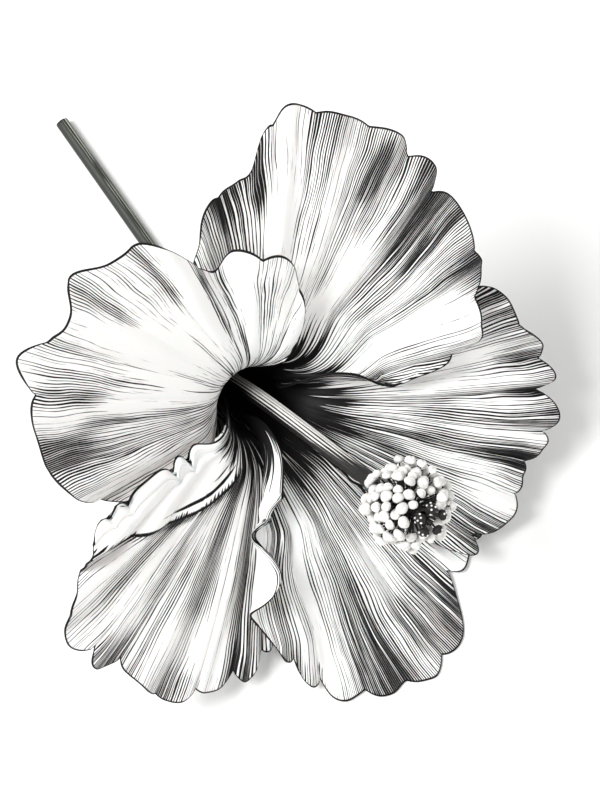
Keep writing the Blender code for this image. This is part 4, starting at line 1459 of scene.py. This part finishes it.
def picture_box(elevation):
    """The middle and the size of the flower as the camera sees it, and the camera's directions."""
    right = Vector((1.0, 0.0, 0.0))
    up = Vector((0.0, math.sin(elevation), math.cos(elevation)))
    back = Vector((0.0, -math.cos(elevation), math.sin(elevation)))
    points = np.concatenate([vertex_array(obj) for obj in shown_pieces()])
    low, high = [], []
    for axis in (right, up, back):
        along = points @ np.array(axis)
        low.append(along.min())
        high.append(along.max())
    middle = sum((axis * (lo + hi) / 2 for axis, lo, hi in zip((right, up, back), low, high)), Vector())
    return middle, high[0] - low[0], (right, up, back)


def add_area_light(name, place, aim, size, power):
    """A square light of a size in metres and a power in watts."""
    bpy.ops.object.light_add(type="AREA", location=place)
    light = bpy.context.active_object
    light.name = name
    light.data.size = size
    light.data.energy = power
    light.rotation_euler = (Vector(aim) - Vector(place)).to_track_quat("-Z", "Y").to_euler()


class HIBISCUS_OT_stage(bpy.types.Operator):
    """Add the floor, the lights and the camera"""

    bl_idname = "hibiscus.stage"
    bl_label = "Stage"

    def execute(self, context):
        settings = context.scene.hibiscus_stage
        middle, width, (right, up, back) = picture_box(settings.elevation)
        bpy.ops.object.select_all(action="DESELECT")
        bpy.ops.mesh.primitive_plane_add(size=FLOOR_SIZE, location=(0.0, 0.0, 0.0))
        floor = bpy.context.active_object
        floor.name = "floor"
        material, nodes, shader = new_material("floor_pale")
        grain = nodes.noise(nodes.add("ShaderNodeTexCoord").outputs["Object"], 40.0, 3.0)
        dim = (*[0.985 * c for c in settings.floor], 1.0)
        nodes.put(shader.inputs["Base Color"], nodes.mix(grain, dim, (*settings.floor, 1.0)))
        shader.inputs["Roughness"].default_value = 0.9
        floor.data.materials.append(material)
        floor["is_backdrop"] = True

        world = bpy.data.worlds.new("studio")
        world.use_nodes = True
        background = world.node_tree.nodes["Background"]
        background.inputs["Color"].default_value = (1.0, 1.0, 1.0, 1.0)
        background.inputs["Strength"].default_value = WORLD_STRENGTH
        context.scene.world = world
        for light in LIGHTS:
            add_area_light(*light)

        distance = width / settings.fill / (SENSOR_WIDTH * IMAGE_SHAPE) * settings.lens
        camera = bpy.data.cameras.new("camera")
        camera.lens = settings.lens
        camera.sensor_width = SENSOR_WIDTH
        camera.clip_start = 0.01
        holder = bpy.data.objects.new("camera", camera)
        turn = Matrix((right, up, back)).transposed().to_4x4()
        holder.matrix_world = Matrix.Translation(middle + back * distance) @ turn
        context.scene.collection.objects.link(holder)
        context.scene.camera = holder
        context.scene.view_settings.view_transform = "Standard"
        return {"FINISHED"}


STEPS = (
    HIBISCUS_OT_petals,
    HIBISCUS_OT_column,
    HIBISCUS_OT_stamens,
    HIBISCUS_OT_pistil,
    HIBISCUS_OT_calyx,
    HIBISCUS_OT_bracteoles,
    HIBISCUS_OT_stem,
    HIBISCUS_OT_stage,
)


class HIBISCUS_PT_panel(bpy.types.Panel):
    """The flower's pieces and their settings"""

    bl_idname = "HIBISCUS_PT_panel"
    bl_label = "Hibiscus Flower"
    bl_space_type = "VIEW_3D"
    bl_region_type = "UI"
    bl_category = "Hibiscus"

    def draw(self, context):
        for name in SETTINGS:
            group = getattr(context.scene, name)
            box = self.layout.box()
            for prop in group.bl_rna.properties:
                if prop.identifier not in {"rna_type", "name"}:
                    box.prop(group, prop.identifier)
        for step in STEPS:
            self.layout.operator(step.bl_idname)


SETTINGS = {
    "hibiscus_petals": PetalSettings,
    "hibiscus_column": ColumnSettings,
    "hibiscus_green": GreenSettings,
    "hibiscus_stage": StageSettings,
}
CLASSES = (*SETTINGS.values(), *STEPS, HIBISCUS_PT_panel)


def register():
    for cls in CLASSES:
        bpy.utils.register_class(cls)
    for name, cls in SETTINGS.items():
        setattr(bpy.types.Scene, name, PointerProperty(type=cls))


def unregister():
    for name in SETTINGS:
        delattr(bpy.types.Scene, name)
    for cls in reversed(CLASSES):
        bpy.utils.unregister_class(cls)


def main():
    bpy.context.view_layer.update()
    register()
    bpy.ops.hibiscus.petals()
    bpy.ops.hibiscus.column()
    bpy.ops.hibiscus.stamens()
    bpy.ops.hibiscus.pistil()
    bpy.ops.hibiscus.calyx()
    bpy.ops.hibiscus.bracteoles()
    bpy.ops.hibiscus.stem()
    bpy.ops.hibiscus.stage()


if __name__ == "__main__":
    main()
